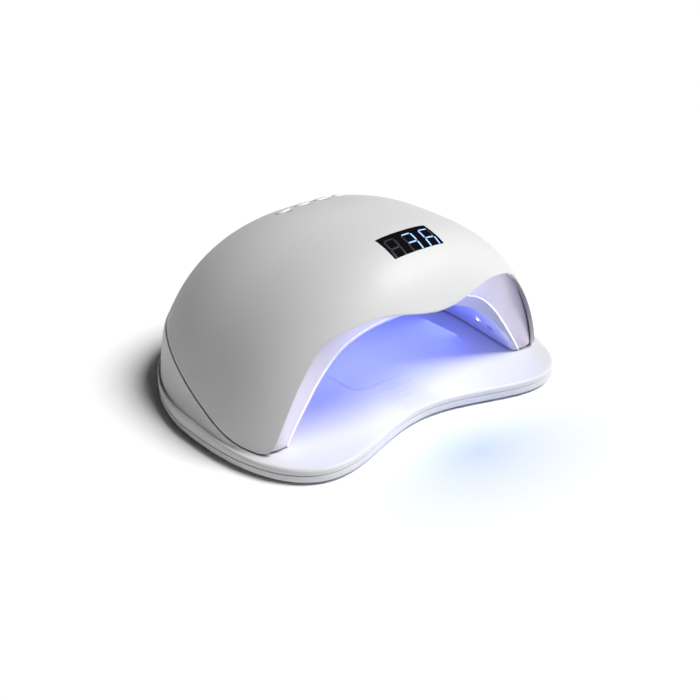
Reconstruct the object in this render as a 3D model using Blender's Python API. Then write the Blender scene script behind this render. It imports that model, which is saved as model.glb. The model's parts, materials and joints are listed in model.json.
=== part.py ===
"""A UV curing lamp: a domed lamp head that stands on a lift-off tray.

Sizes in this file are in millimetres, and each mesh is scaled to metres as it is made. +Z is up, -Y is the
open front, and the origin is under the middle of the lamp, on the plane of its four feet.
"""

import math

import bmesh
import bpy
import numpy as np
from mathutils import Matrix, Vector

MM = 0.001

# Base outline: a half ellipse behind, and two lobes with a shallow bay between them in front.
BASE_HALF_WIDTH = 115.0
BASE_WIDEST_Y = -16.6
BASE_REAR_REACH = 116.1
BASE_FRONT_REACH = 109.8
BASE_FRONT_POWER = 2.65
BAY_DEPTH = 43.7
BAY_POWER = 2.35
BASE_SIDES = 52

# Heights in the base.
PLATE_BOTTOM = 1.2
PLATE_TOP = 5.7
TRAY_BOTTOM = 6.0
TRAY_TOP = 9.6
TRAY_WALL = 2.2
BASE_WALL = 2.4

# Dome: superellipses stacked up in plan, with their own profile at the sides, front and rear.
DOME_Y = -25.7
DOME_BASE = 1.2
DOME_HEIGHT = 106.4
DOME_SIDE = (113.15, 1.71, 2.19)
DOME_FRONT = (73.36, 3.65, 3.47)
DOME_REAR = (114.83, 2.34, 2.14)
DOME_FRONT_POWER = 2.74
DOME_REAR_POWER = 2.56
DOME_WALL = 2.4
DOME_ROWS = 10
CROWN_FOOT_ANGLE = math.radians(-35)

# Seam between the dome and the tray, as a height that rises towards the rear.
SEAM_LOW = 10.3
SEAM_RISE = 29.0
SEAM_START_Y = -69.0
SEAM_RUN = 130.0
SEAM_POWER = 1.5

# Edge of the front opening seen from the front, from the middle of the brow to the tip of a foot.
OPENING_EDGE = [(0, 73.2), (35, 77.8), (55, 74.4), (68, 67.8), (79.6, 57.2), (86, 46.5), (91, 35),
                (95, 24), (97.2, 15.3), (99.2, 12.5), (101.5, 10.9), (104.1, 10.5)]
OPENING_STEPS = 17
SEAM_STEPS = 11

# Front edge of the reflector seen from the front, from its top to the foot, and the vault behind it.
VAULT_EDGE = [(0, 64.2), (26, 63.2), (43, 59.2), (53, 54.2), (62, 46.2), (69.5, 37.2), (78, 25.2),
              (84.5, 15.2), (87, 10.7)]
VAULT_FRONT_Y = -69.0
VAULT_WIDE_Y = -8.0
VAULT_REAR_Y = 61.0
VAULT_WIDENING = 0.045
VAULT_POWER = 2.5
VAULT_WALL = 2.0
VAULT_STEPS = 18

# Front bezel, between the dome's lip and the reflector.
BEZEL_INSET = 3.0
BEZEL_WALL = 1.8
BEZEL_CREASE = 0.38
BEZEL_CREASE_FORWARD = 1.6

# Lower frame of the head: a horseshoe with an upright wall that fits inside the tray and the dome.
FRAME_BOTTOM = 10.5
FRAME_FLOOR = 2.4
FRAME_WALL = 1.8
FRAME_SPIGOT = 4.0
FRAME_FRONT_ANGLE = math.radians(-20.5)
FRAME_STEPS = 24
SLIDING_GAP = 0.6
GAP = 0.3

# Fixings, as plan positions on the right side, repeated on the left.
FOOT_PLACES = [(68, -76), (66, 58)]
FOOT_RADIUS = 7.0
BASE_SCREW_PLACES = [(84, -48), (46, 60)]
HEAD_SCREW_PLACES = [(97, -41), (42.5, 65.5)]
MAGNET_PLACES = [(95, -57), (20, 70)]
MAGNET_RADIUS = 4.0
SCREW_HEAD_RADIUS = 2.8
SCREW_SHANK_RADIUS = 1.2

# Controls on the dome.
WINDOW_WIDTH = 35.0
WINDOW_FRONT_Y = -73.0
WINDOW_REAR_Y = -56.5
WINDOW_THICKNESS = 1.6
BUTTON_Y = 21.0
BUTTON_SPACING = 13.7
BUTTON_WIDTH = 10.0
BUTTON_DEPTH = 6.0
BUTTON_PROUD = 1.0
BUTTON_NAMES = ["button_10s", "button_30s", "button_60s", "button_99s"]
JACK_HEIGHT = 53.0

# Light sources: three arches of beads behind the reflector.
LED_ROWS = {"led_strip_front": (-44.0, 9), "led_strip_middle": (-12.0, 9), "led_strip_rear": (18.0, 9)}
LED_REACH = 0.84
LED_RADIUS = 2.4
LED_HOLE_RADIUS = 2.9
SENSOR_Y = -54.0
SENSOR_PLACE = 0.87
SENSOR_RADIUS = 2.3

# Driver board, on posts over the reflector.
MAIN_BOARD_Z = 76.0
MAIN_BOARD_Y = 3.0
MAIN_BOARD_SIZE = (86.0, 58.0)
BOARD_POST_PLACES = [(34, -21), (34, 27)]
BOARD_POST_RADIUS = 2.8


# ---------------------------------------------------------------------------------------------- meshes

def clear_scene():
    for obj in list(bpy.data.objects):
        bpy.data.objects.remove(obj, do_unlink=True)


def plain_material(name, colour, roughness, metallic=0.0):
    material = bpy.data.materials.get(name) or bpy.data.materials.new(name)
    material.use_nodes = True
    shader = material.node_tree.nodes["Principled BSDF"]
    shader.inputs["Base Color"].default_value = (*colour, 1.0)
    shader.inputs["Roughness"].default_value = roughness
    shader.inputs["Metallic"].default_value = metallic
    return material


def add_body(name, points, faces, material):
    """One closed mesh from points in millimetres, with its faces turned outwards."""
    mesh = bpy.data.meshes.new(name)
    mesh.from_pydata([tuple(np.asarray(point) * MM) for point in points], [], faces)
    work = bmesh.new()
    work.from_mesh(mesh)
    bmesh.ops.recalc_face_normals(work, faces=work.faces)
    work.to_mesh(mesh)
    work.free()
    mesh.shade_smooth()
    mesh.set_sharp_from_angle(angle=math.radians(35))
    mesh.materials.append(material)
    obj = bpy.data.objects.new(name, mesh)
    bpy.context.scene.collection.objects.link(obj)
    return obj


def ring_mesh(rings, loop=False):
    """Points and faces of a body made of rings in order. A ring of one point is a pole."""
    points = []
    starts = []
    for ring in rings:
        starts.append(len(points))
        points.extend(np.atleast_2d(ring))
    sizes = [len(np.atleast_2d(ring)) for ring in rings]
    faces = []
    pairs = list(zip(range(len(rings) - 1), range(1, len(rings))))
    if loop:
        pairs.append((len(rings) - 1, 0))
    for first, second in pairs:
        count = max(sizes[first], sizes[second])
        for i in range(count):
            j = (i + 1) % count
            corners = []
            for ring, step in ((first, i), (first, j), (second, j), (second, i)):
                index = starts[ring] + (step if sizes[ring] > 1 else 0)
                if index not in corners:
                    corners.append(index)
            faces.append(corners)
    return points, faces


def swept_mesh(sections):
    """Points and faces of a body made of closed sections in order, with a cap at each end."""
    size = len(sections[0])
    points = [point for section in sections for point in section]
    faces = []
    for k in range(len(sections) - 1):
        for i in range(size):
            j = (i + 1) % size
            faces.append([k * size + i, k * size + j, (k + 1) * size + j, (k + 1) * size + i])
    faces.append(list(range(size)))
    faces.append([(len(sections) - 1) * size + i for i in range(size)])
    return points, faces


def placed(mesh, matrix):
    points, faces = mesh
    return [matrix @ Vector(point) for point in points], faces


def joined(meshes):
    """Several separate bodies as one list of points and faces, for use as a Boolean operand."""
    points = []
    faces = []
    for more_points, more_faces in meshes:
        shift = len(points)
        points.extend(more_points)
        faces.extend([[index + shift for index in face] for face in more_faces])
    return points, faces


def turned_mesh(profile, sides=16, loop=False):
    """A body turned about Z from a profile of (radius, height), from its top to its bottom."""
    rings = []
    for radius, height in profile:
        if radius == 0:
            rings.append(np.array([0.0, 0.0, height]))
            continue
        angles = [2 * math.pi * i / sides for i in range(sides)]
        rings.append(np.array([(radius * math.cos(a), radius * math.sin(a), height) for a in angles]))
    return ring_mesh(rings, loop)


def cylinder_mesh(radius, low, high, sides=10):
    return turned_mesh([(0, high), (radius, high), (radius, low), (0, low)], sides)


def prism_mesh(outline, low, high):
    return swept_mesh([[(x, y, low) for x, y in outline], [(x, y, high) for x, y in outline]])


def rounded_rectangle(width, depth, radius, steps=4):
    outline = []
    for quarter, (sx, sy) in enumerate(((1, 1), (-1, 1), (-1, -1), (1, -1))):
        for i in range(steps + 1):
            angle = math.pi / 2 * (quarter + i / steps)
            outline.append((sx * (width / 2 - radius) + radius * math.cos(angle),
                            sy * (depth / 2 - radius) + radius * math.sin(angle)))
    return outline


def boolean(obj, operation, mesh):
    """Adds a Boolean with a hidden helper made from points and faces."""
    number = len(obj.modifiers)
    helper = add_body(f"{obj.name}_helper_{number}", *mesh, obj.data.materials[0])
    hide_helper(helper)
    modifier = obj.modifiers.new(f"{operation.lower()}_{number}", "BOOLEAN")
    modifier.operation = operation
    modifier.object = helper
    return helper


def hide_helper(helper):
    helper.hide_render = True
    helper.display_type = "WIRE"


def smooth_path(before, path, after, steps):
    """Points along a smooth curve through a path, with one more point beyond each end to steer it."""
    knots = np.vstack([before, path, after])
    fine = []
    for p0, p1, p2, p3 in zip(knots, knots[1:], knots[2:], knots[3:]):
        for t in np.linspace(0, 1, steps, endpoint=False):
            fine.append(0.5 * (2 * p1 + (p2 - p0) * t + (2 * p0 - 5 * p1 + 4 * p2 - p3) * t**2
                               + (3 * p1 - p0 - 3 * p2 + p3) * t**3))
    return np.array(fine + [path[-1]])


def spline(points, count):
    """Points at even steps along a smooth curve that starts level on the middle plane x = 0."""
    path = np.array(points, float)
    fine = smooth_path(path[1] * (-1, 1), path, 2 * path[-1] - path[-2], 16)
    along = np.concatenate([[0], np.cumsum(np.linalg.norm(np.diff(fine, axis=0), axis=1))])
    steps = np.linspace(0, along[-1], count)
    return np.column_stack([np.interp(steps, along, fine[:, k]) for k in range(2)])


def both_sides(places):
    """Each plan position on the right side and its mirror image on the left, with a name for each."""
    named = []
    for place, end in zip(places, ("front", "rear")):
        named.append((f"{end}_right", *place))
        named.append((f"{end}_left", -place[0], place[1]))
    return named


# ---------------------------------------------------------------------------------------------- shapes

def outline_point(angle):
    """A point of the base outline, where angle runs from -90 degrees at the front to 90 at the rear."""
    x = BASE_HALF_WIDTH * math.cos(angle)
    across = min(1.0, abs(x) / BASE_HALF_WIDTH)
    if math.sin(angle) >= 0:
        return np.array([x, BASE_WIDEST_Y + BASE_REAR_REACH * math.sin(angle)])
    lobes = BASE_FRONT_REACH * (1 - across**BASE_FRONT_POWER) ** (1 / BASE_FRONT_POWER)
    bay = BAY_DEPTH * (1 - across**2) ** BAY_POWER
    return np.array([x, BASE_WIDEST_Y - lobes + bay])


def outline_normal(angle):
    step = 0.01
    along = outline_point(angle + step) - outline_point(angle - step)
    return np.array([along[1], -along[0]]) / np.linalg.norm(along)


def base_angles():
    return [-math.pi / 2 + 2 * math.pi * i / BASE_SIDES for i in range(BASE_SIDES)]


def base_ring(inset, height):
    """The base outline moved inwards, at one height."""
    ring = []
    for angle in base_angles():
        x, y = outline_point(angle) - inset * outline_normal(angle)
        ring.append((x, y, height))
    return np.array(ring)


def dome_reach(shape, height):
    extent, rise, round_ = shape
    share = min(max((height - DOME_BASE) / DOME_HEIGHT, 0.0), 1.0)
    return extent * (1 - share**rise) ** (1 / round_)


def dome_radius(angle, height):
    rear = math.sin(angle) >= 0
    power = DOME_REAR_POWER if rear else DOME_FRONT_POWER
    side = max(dome_reach(DOME_SIDE, height), 1e-6)
    end = max(dome_reach(DOME_REAR if rear else DOME_FRONT, height), 1e-6)
    return ((abs(math.cos(angle)) / side) ** power + (abs(math.sin(angle)) / end) ** power) ** (-1 / power)


def dome_point(angle, height, inset=0.0):
    radius = dome_radius(angle, height)
    point = np.array([radius * math.cos(angle), DOME_Y + radius * math.sin(angle), height])
    return point - inset * dome_normal(angle, height) if inset else point


def dome_normal(angle, height):
    turn, rise = 1e-3, 0.02
    if height > DOME_BASE + DOME_HEIGHT - 2 * rise:
        return np.array([0.0, 0.0, 1.0])
    around = dome_point(angle + turn, height) - dome_point(angle - turn, height)
    up = dome_point(angle, height + rise) - dome_point(angle, height - rise)
    normal = np.cross(around, up)
    return normal / np.linalg.norm(normal)


def edge_point(angle, height, inset):
    """A point level with the dome's surface point, straight in through a wall of the given thickness."""
    normal = dome_normal(angle, height)
    level = np.array([normal[0], normal[1], 0.0])
    return dome_point(angle, height) - inset * level / level.dot(level)


def dome_height(x, y):
    """Height of the dome's outer surface over a plan position."""
    angle = math.atan2(y - DOME_Y, x)
    distance = math.hypot(x, y - DOME_Y)
    low, high = DOME_BASE, DOME_BASE + DOME_HEIGHT
    for _ in range(40):
        middle = (low + high) / 2
        if dome_radius(angle, middle) > distance:
            low = middle
        else:
            high = middle
    return low


def dome_frame(x, y):
    """A matrix at a point of the dome's surface, with Z along the outward normal and X across the lamp."""
    height = dome_height(x, y)
    normal = Vector(dome_normal(math.atan2(y - DOME_Y, x), height))
    across = Vector((0, 1, 0)).cross(normal).normalized()
    along = normal.cross(across)
    turn = Matrix((across, along, normal)).transposed().to_4x4()
    return Matrix.Translation((x, y, height)) @ turn


def seam_height(y):
    share = min(max((y - SEAM_START_Y) / SEAM_RUN, 0.0), 1.0)
    return SEAM_LOW + SEAM_RISE * math.sin(math.pi / 2 * share) ** SEAM_POWER


def seam_at(angle):
    """Height of the seam in one direction from the dome's centre line."""
    height = SEAM_LOW
    for _ in range(12):
        height = seam_height(dome_point(angle, height)[1])
    return height


def edge_directions(opening):
    """Points (x, z) of the opening's edge as (direction from the dome's centre line, height)."""
    edge = []
    for x, z in opening:
        side = dome_reach(DOME_SIDE, z)
        reach = dome_reach(DOME_FRONT, z) * (1 - (x / side) ** DOME_FRONT_POWER) ** (1 / DOME_FRONT_POWER)
        edge.append((math.atan2(-reach, x), z))
    return edge


def opening_angles():
    """The opening's edge as (direction, height), from the middle of the brow to the foot."""
    return edge_directions(spline(OPENING_EDGE, OPENING_STEPS + 1))


def dome_columns():
    """(direction at the edge, height at the edge, direction at the crown) all the way round."""
    right = []
    for i, (angle, height) in enumerate(opening_angles()):
        crown = -math.pi / 2 + (CROWN_FOOT_ANGLE + math.pi / 2) * i / OPENING_STEPS
        right.append((angle, height, crown))
    foot = right[-1][0]
    for i in range(1, SEAM_STEPS + 1):
        share = i / SEAM_STEPS
        angle = foot + (math.pi / 2 - foot) * share
        crown = CROWN_FOOT_ANGLE + (math.pi / 2 - CROWN_FOOT_ANGLE) * share
        right.append((angle, seam_at(angle), crown))
    left = [(math.pi - angle, height, math.pi - crown) for angle, height, crown in right[-2:0:-1]]
    return right + left


def dome_rings(inset):
    """Rings of the dome from its crown down to its edge, moved inwards."""
    rings = [np.array([0.0, DOME_Y, DOME_BASE + DOME_HEIGHT - inset])]
    columns = dome_columns()
    for row in range(1, DOME_ROWS + 1):
        down = row / DOME_ROWS
        ring = []
        for edge_angle, edge_height, crown_angle in columns:
            edge_level = math.asin((edge_height - DOME_BASE) / DOME_HEIGHT)
            level = math.pi / 2 + (edge_level - math.pi / 2) * down
            angle = crown_angle + (edge_angle - crown_angle) * down**2
            height = DOME_BASE + DOME_HEIGHT * math.sin(level)
            at_edge = row == DOME_ROWS
            ring.append(edge_point(angle, height, inset) if at_edge else dome_point(angle, height, inset))
        rings.append(np.array(ring))
    return rings


VAULT_ARCH = spline(VAULT_EDGE, 97)


def vault_point(y, share):
    """A point of the reflector's inner surface. share runs from -1 at the left foot to 1 at the right."""
    steps = np.linspace(0, 1, len(VAULT_ARCH))
    x = math.copysign(np.interp(abs(share), steps, VAULT_ARCH[:, 0]), share)
    z = np.interp(abs(share), steps, VAULT_ARCH[:, 1])
    forward = min(max((y - VAULT_FRONT_Y) / (VAULT_WIDE_Y - VAULT_FRONT_Y), 0.0), 1.0)
    back = min(max((y - VAULT_WIDE_Y) / (VAULT_REAR_Y - VAULT_WIDE_Y), 0.0), 1.0)
    shrink = (1 - back**VAULT_POWER) ** (1 / VAULT_POWER)
    foot = VAULT_EDGE[-1][1]
    return np.array([x * (1 + VAULT_WIDENING * forward) * shrink, y, foot + (z - foot) * shrink])


def vault_normal(y, share):
    """Unit vector out of the hollow, at a point of the reflector's inner surface."""
    low, high = max(-1.0, share - 0.01), min(1.0, share + 0.01)
    across = vault_point(y, high) - vault_point(y, low)
    along = vault_point(min(y + 0.05, VAULT_REAR_Y), share) - vault_point(y - 0.05, share)
    normal = np.cross(across, along)
    return normal / np.linalg.norm(normal)


def vault_outside(y, share, distance):
    return vault_point(y, share) + distance * vault_normal(y, share)


def vault_frame(y, share):
    """A matrix on the reflector's inner surface, with Z out of the hollow."""
    normal = Vector(vault_normal(y, share))
    across = Vector((0, 1, 0)).cross(normal).normalized()
    turn = Matrix((across, normal.cross(across), normal)).transposed().to_4x4()
    return Matrix.Translation(Vector(vault_point(y, share))) @ turn


def vault_radius(angle, margin):
    """How far the reflector's foot reaches in one direction from the dome's centre line."""
    low, high = 20.0, 130.0
    for _ in range(40):
        middle = (low + high) / 2
        x, y = middle * math.cos(angle), DOME_Y + middle * math.sin(angle)
        width = vault_point(min(y - margin, VAULT_REAR_Y), 1.0)[0]
        inside = y < VAULT_REAR_Y + margin and abs(x) < width + margin
        if inside:
            low = middle
        else:
            high = middle
    return low


def polar(angle, radius, height):
    return (radius * math.cos(angle), DOME_Y + radius * math.sin(angle), height)


def frame_radius(angle):
    """Outer radius of the head's lower frame, which has to pass inside both the dome and the tray."""
    return dome_radius(angle, seam_at(angle) + FRAME_SPIGOT) - DOME_WALL - SLIDING_GAP - 0.6


# -------------------------------------------------------------------------------------- tray and base

def tray_flank(angle):
    """(radius, height) points up the tray's flank in one direction, from the shelf to the seam."""
    seam = seam_at(angle)
    direction = np.array([math.cos(angle), math.sin(angle)])
    rise = max(seam - SEAM_LOW, 0.0)
    rim = rim_radius(angle)
    top_radius = dome_radius(angle, seam) + 0.3
    if rise == 0:
        top_radius = min(top_radius, rim - 7.0)
    foot_radius = min(rim - 2.6, top_radius + 1.0 + 0.45 * rise)
    bulge = min(max((direction[1] + 0.05) / 0.75, 0.0), 1.0)
    bulge = bulge * bulge * (3 - 2 * bulge)
    start = np.array([foot_radius, TRAY_TOP])
    end = np.array([top_radius, TRAY_TOP + rise])
    run, height = end - start
    concave = (np.array([0.6 * run, 0.0]), np.array([run, 0.35 * height]))
    convex = (np.array([0.0, 0.5 * height]), np.array([0.42 * run, 0.95 * height]))
    first = start + concave[0] * (1 - bulge) + convex[0] * bulge
    second = start + concave[1] * (1 - bulge) + convex[1] * bulge
    points = []
    for t in np.linspace(0, 1, 6):
        points.append((1 - t) ** 3 * start + 3 * (1 - t) ** 2 * t * first
                      + 3 * (1 - t) * t**2 * second + t**3 * end)
    return points


def rim_radius(angle):
    """Distance from the dome's centre line to the base outline in one direction."""
    low, high = -math.pi / 2, math.pi / 2
    target = math.atan2(math.sin(angle), abs(math.cos(angle)))
    for _ in range(40):
        middle = (low + high) / 2
        x, y = outline_point(middle)
        if math.atan2(y - DOME_Y, x) < target:
            low = middle
        else:
            high = middle
    x, y = outline_point(low)
    return math.hypot(x, y - DOME_Y)


def tray_rings():
    """Rings of the tray cover: middle of the floor, out to the rim, round it, and back underneath."""
    columns = []
    for outline_angle in base_angles():
        rim = outline_point(outline_angle)
        inward = -outline_normal(outline_angle)
        angle = math.atan2(rim[1] - DOME_Y, rim[0])
        flank = tray_flank(angle)
        top = flank[-1]
        wall = min(frame_radius(angle) + 2 * SLIDING_GAP, top[0] - 2.0)
        shelf = flank[0][0]
        room = min(1.0, (math.hypot(rim[0], rim[1] - DOME_Y) - shelf) / 6.0)
        column = [polar(angle, 0.5 * wall, TRAY_TOP), polar(angle, wall - 0.2, TRAY_TOP),
                  polar(angle, wall, top[1])]
        column += [polar(angle, radius, height) for radius, height in flank[::-1]]
        for inset, height in ((4.0 * room, TRAY_TOP - 0.1), (1.4 * room, TRAY_TOP - 0.7),
                              (0.2 * room, TRAY_TOP - 2.0), (0.0, TRAY_BOTTOM)):
            column.append((*(rim + inset * inward), height))
        column += [(*(rim + BASE_WALL * inward), TRAY_BOTTOM),
                   (*(rim + BASE_WALL * inward), TRAY_TOP - TRAY_WALL)]
        column += hollow_under_flank(angle, flank, wall)
        column.append(polar(angle, 0.5 * wall, TRAY_TOP - TRAY_WALL))
        columns.append(column)
    rings = [np.array(ring) for ring in zip(*columns)]
    middle = np.array([0.0, DOME_Y, TRAY_TOP])
    return [middle, *rings, middle - (0.0, 0.0, TRAY_WALL)]


def hollow_under_flank(angle, flank, wall):
    """The underside of the raised flank: the flank's shape moved in by the wall's thickness."""
    under = TRAY_TOP - TRAY_WALL
    inner = wall + TRAY_WALL
    outer = max(flank[0][0] - TRAY_WALL - 1.0, inner + 1.5)
    radii = [point[0] for point in flank[::-1]]
    heights = [point[1] for point in flank[::-1]]
    points = []
    for share in (0.0, 0.3, 0.6, 0.85, 1.0):
        radius = outer + (inner - outer) * share
        height = np.interp(radius + TRAY_WALL, radii, heights) - TRAY_WALL
        points.append(polar(angle, radius, max(under, height - 0.6)))
    points.append(polar(angle, inner - 0.2, under))
    return points


def make_tray_cover(material):
    tray = add_body("tray_cover", *ring_mesh(tray_rings()), material)
    boolean(tray, "UNION", joined([hand_pad(), *finger_ribs(), *tray_bosses()]))
    pilots = [placed(cylinder_mesh(1.5, PLATE_TOP - 3, TRAY_TOP - TRAY_WALL), at(x, y))
              for _, x, y in both_sides(BASE_SCREW_PLACES)]
    boolean(tray, "DIFFERENCE", joined(pilots))


def at(x, y, z=0.0):
    return Matrix.Translation((x, y, z))


def hand_pad():
    """The low step that the fingers rest behind."""
    outline = rounded_rectangle(44.0, 52.0, 9.0)
    return placed(prism_mesh(outline, TRAY_TOP - 0.8, TRAY_TOP + 0.9), at(0, -21.0))


def finger_ribs():
    ribs = []
    for y in (-55.0, -61.8, -69.0):
        outline = rounded_rectangle(25.0, 1.2, 0.55, 2)
        ribs.append(placed(prism_mesh(outline, TRAY_TOP - 0.8, TRAY_TOP + 0.45), at(0, y)))
    return ribs


def tray_bosses():
    return [placed(cylinder_mesh(3.6, PLATE_TOP - 0.5, TRAY_TOP - TRAY_WALL + 0.8), at(x, y))
            for _, x, y in both_sides(BASE_SCREW_PLACES)]


def make_bottom_plate(material):
    inner_floor = PLATE_BOTTOM + 2.2
    rings = [np.array([0.0, DOME_Y, PLATE_BOTTOM]), base_ring(2.2, PLATE_BOTTOM),
             base_ring(0.6, PLATE_BOTTOM + 0.7), base_ring(0.0, PLATE_BOTTOM + 2.0),
             base_ring(0.0, PLATE_TOP), base_ring(BASE_WALL, PLATE_TOP),
             base_ring(BASE_WALL, inner_floor), np.array([0.0, DOME_Y, inner_floor])]
    plate = add_body("bottom_plate", *ring_mesh(rings), material)
    bosses = [placed(cylinder_mesh(4.6, PLATE_BOTTOM + 0.6, PLATE_TOP - 0.8), at(x, y))
              for _, x, y in both_sides(BASE_SCREW_PLACES)]
    boolean(plate, "UNION", joined(bosses))
    cuts = []
    for _, x, y in both_sides(BASE_SCREW_PLACES):
        cuts.append(placed(counterbore_mesh(PLATE_BOTTOM - 1, PLATE_BOTTOM + 1.9, PLATE_TOP + 1), at(x, y)))
    for _, x, y in both_sides(FOOT_PLACES):
        cuts.append(placed(cylinder_mesh(FOOT_RADIUS + GAP, PLATE_BOTTOM - 1, PLATE_BOTTOM + 1.0, 16),
                           at(x, y)))
    boolean(plate, "DIFFERENCE", joined(cuts))


def counterbore_mesh(low, step, high):
    """A hole for a screw from below: a wide mouth for the head, then a hole for the shank."""
    head, shank = SCREW_HEAD_RADIUS + GAP, SCREW_SHANK_RADIUS + GAP
    return turned_mesh([(0, high), (shank, high), (shank, step), (head, step), (head, low), (0, low)], 10)


def make_feet(material):
    for name, x, y in both_sides(FOOT_PLACES):
        top = PLATE_BOTTOM + 0.7
        profile = [(0, top), (FOOT_RADIUS, top), (FOOT_RADIUS, 0.4), (FOOT_RADIUS - 0.5, 0), (0, 0)]
        add_body(f"foot_{name}", *placed(turned_mesh(profile, 16), at(x, y)), material)


def screw_mesh(seat, length):
    """A flat head with a socket, below its seat, and a plain shank above it."""
    bottom, socket = seat - 1.4, 1.1
    profile = [(0, seat + length), (SCREW_SHANK_RADIUS, seat + length), (SCREW_SHANK_RADIUS, seat),
               (SCREW_HEAD_RADIUS, seat), (SCREW_HEAD_RADIUS, bottom), (socket, bottom),
               (socket, bottom + 0.8), (0, bottom + 0.8)]
    return turned_mesh(profile, 8)


def make_screws(prefix, places, seat, length, material):
    for name, x, y in both_sides(places):
        add_body(f"{prefix}_{name}", *placed(screw_mesh(seat, length), at(x, y)), material)


def make_discs(prefix, places, low, high, material):
    for name, x, y in both_sides(places):
        edge = 0.3
        profile = [(0, high), (MAGNET_RADIUS - edge, high), (MAGNET_RADIUS, high - edge),
                   (MAGNET_RADIUS, low + edge), (MAGNET_RADIUS - edge, low), (0, low)]
        add_body(f"{prefix}_{name}", *placed(turned_mesh(profile, 10), at(x, y)), material)


# ------------------------------------------------------------------------------------------ lamp head

def make_dome_shell(material):
    outer = dome_rings(0.0)
    inner = dome_rings(DOME_WALL)
    dome = add_body("dome_shell", *ring_mesh(outer + inner[::-1]), material)
    core = add_body("dome_core", *ring_mesh(core_rings()), material)
    hide_helper(core)
    for _, x, y in both_sides(HEAD_SCREW_PLACES):
        low = FRAME_BOTTOM + FRAME_FLOOR + GAP
        post = placed(cylinder_mesh(4.0, low, 100.0), at(x, y))
        helper = boolean(dome, "UNION", post)
        trim = helper.modifiers.new("trim_to_dome", "BOOLEAN")
        trim.operation = "INTERSECT"
        trim.object = core
    pilots = [placed(cylinder_mesh(1.5, FRAME_BOTTOM, FRAME_BOTTOM + 14), at(x, y))
              for _, x, y in both_sides(HEAD_SCREW_PLACES)]
    boolean(dome, "DIFFERENCE", joined(pilots + [window_cut(), jack_cut()] + button_cuts()))


def core_rings():
    """The dome's volume down to its base, with its surface half way through the wall."""
    inset = DOME_WALL / 2
    rings = [np.array([0.0, DOME_Y, DOME_BASE + DOME_HEIGHT - inset])]
    rows = 14
    for row in range(1, rows + 1):
        height = DOME_BASE + DOME_HEIGHT * math.cos(math.pi / 2 * row / rows) * 0.999 + 0.05
        angles = [2 * math.pi * i / 40 for i in range(40)]
        rings.append(np.array([dome_point(angle, height, inset) for angle in angles]))
    rings.append(np.array([0.0, DOME_Y, DOME_BASE]))
    return rings


def window_cut():
    """An upright block through the dome where the display window fits."""
    width, depth = WINDOW_WIDTH + 2 * GAP, WINDOW_REAR_Y - WINDOW_FRONT_Y + 2 * GAP
    outline = rounded_rectangle(width, depth, 0.6, 2)
    middle = (WINDOW_FRONT_Y + WINDOW_REAR_Y) / 2
    return placed(prism_mesh(outline, 90.0, 115.0), at(0, middle))


def make_display_window(material):
    """A curved pane whose top follows the dome."""
    width, depth = WINDOW_WIDTH, WINDOW_REAR_Y - WINDOW_FRONT_Y
    sections = []
    for x in np.linspace(-width / 2, width / 2, 7):
        tops = [(x, WINDOW_FRONT_Y + depth * i / 3) for i in range(4)]
        upper = [(*place, dome_height(*place) - 0.05) for place in tops]
        lower = [(*place, dome_height(*place) - WINDOW_THICKNESS) for place in tops[::-1]]
        sections.append(upper + lower)
    add_body("display_window", *swept_mesh(sections), material)


def make_display(board_material, module_material):
    """The digit module and its board, tilted to lie under the window."""
    frame = dome_frame(0, (WINDOW_FRONT_Y + WINDOW_REAR_Y) / 2)
    module = prism_mesh(rounded_rectangle(31.0, 13.5, 0.8, 1), -9.8, -4.2)
    add_body("display_module", *placed(module, frame), module_material)
    board = prism_mesh(rounded_rectangle(42.0, 20.0, 1.5, 2), -11.7, -10.1)
    add_body("display_board", *placed(board, frame), board_material)


def button_places():
    return [(BUTTON_SPACING * (i - 1.5), BUTTON_Y) for i in range(len(BUTTON_NAMES))]


def oval(scale, height, sides=12):
    angles = [2 * math.pi * i / sides for i in range(sides)]
    half_width, half_depth = BUTTON_WIDTH / 2, BUTTON_DEPTH / 2
    return np.array([((half_width + scale) * math.cos(a), (half_depth + scale) * math.sin(a), height)
                     for a in angles])


def button_cuts():
    cuts = []
    for x, y in button_places():
        rings = [np.array([0, 0, 6.0]), oval(GAP, 6.0), oval(GAP, -6.0), np.array([0, 0, -6.0])]
        cuts.append(placed(ring_mesh(rings), dome_frame(x, y)))
    return cuts


def make_buttons(material):
    """Oval caps, each held in the dome by a flange, with a stem that reaches for its switch."""
    flange = -DOME_WALL - 0.5
    for name, (x, y) in zip(BUTTON_NAMES, button_places()):
        top = [np.array([0, 0, BUTTON_PROUD]), oval(-1.8, BUTTON_PROUD - 0.1),
               oval(-0.5, BUTTON_PROUD - 0.45), oval(0.0, 0.1)]
        below = [oval(0.0, flange), oval(1.0, flange), oval(1.0, flange - 0.8), oval(-1.6, flange - 0.8),
                 oval(-1.6, flange - 2.0), np.array([0, 0, flange - 2.0])]
        frame = dome_frame(x, y)
        button = add_body(name, *ring_mesh(top + below), material)
        frame.translation *= MM
        button.matrix_world = frame


def board_frame():
    """The button board's plane, flat under the four buttons."""
    frame = dome_frame(0, BUTTON_Y)
    return frame @ Matrix.Translation((0, 0, -12.0))


def make_button_board(board_material, switch_material):
    board = prism_mesh(rounded_rectangle(58.0, 13.0, 2.0, 2), -1.6, 0.0)
    add_body("button_board", *placed(board, board_frame()), board_material)
    for number, (x, _) in enumerate(button_places(), 1):
        drop = dome_height(0, BUTTON_Y) - dome_height(x, BUTTON_Y)
        body = prism_mesh(rounded_rectangle(6.0, 6.0, 0.5, 1), GAP, 3.2)
        plunger = cylinder_mesh(1.6, 3.0, 5.6 - drop, 12)
        place = board_frame() @ Matrix.Translation((x, 0, 0))
        switch = add_body(f"tact_switch_{number}", *placed(body, place), switch_material)
        boolean(switch, "UNION", placed(plunger, place))


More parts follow.
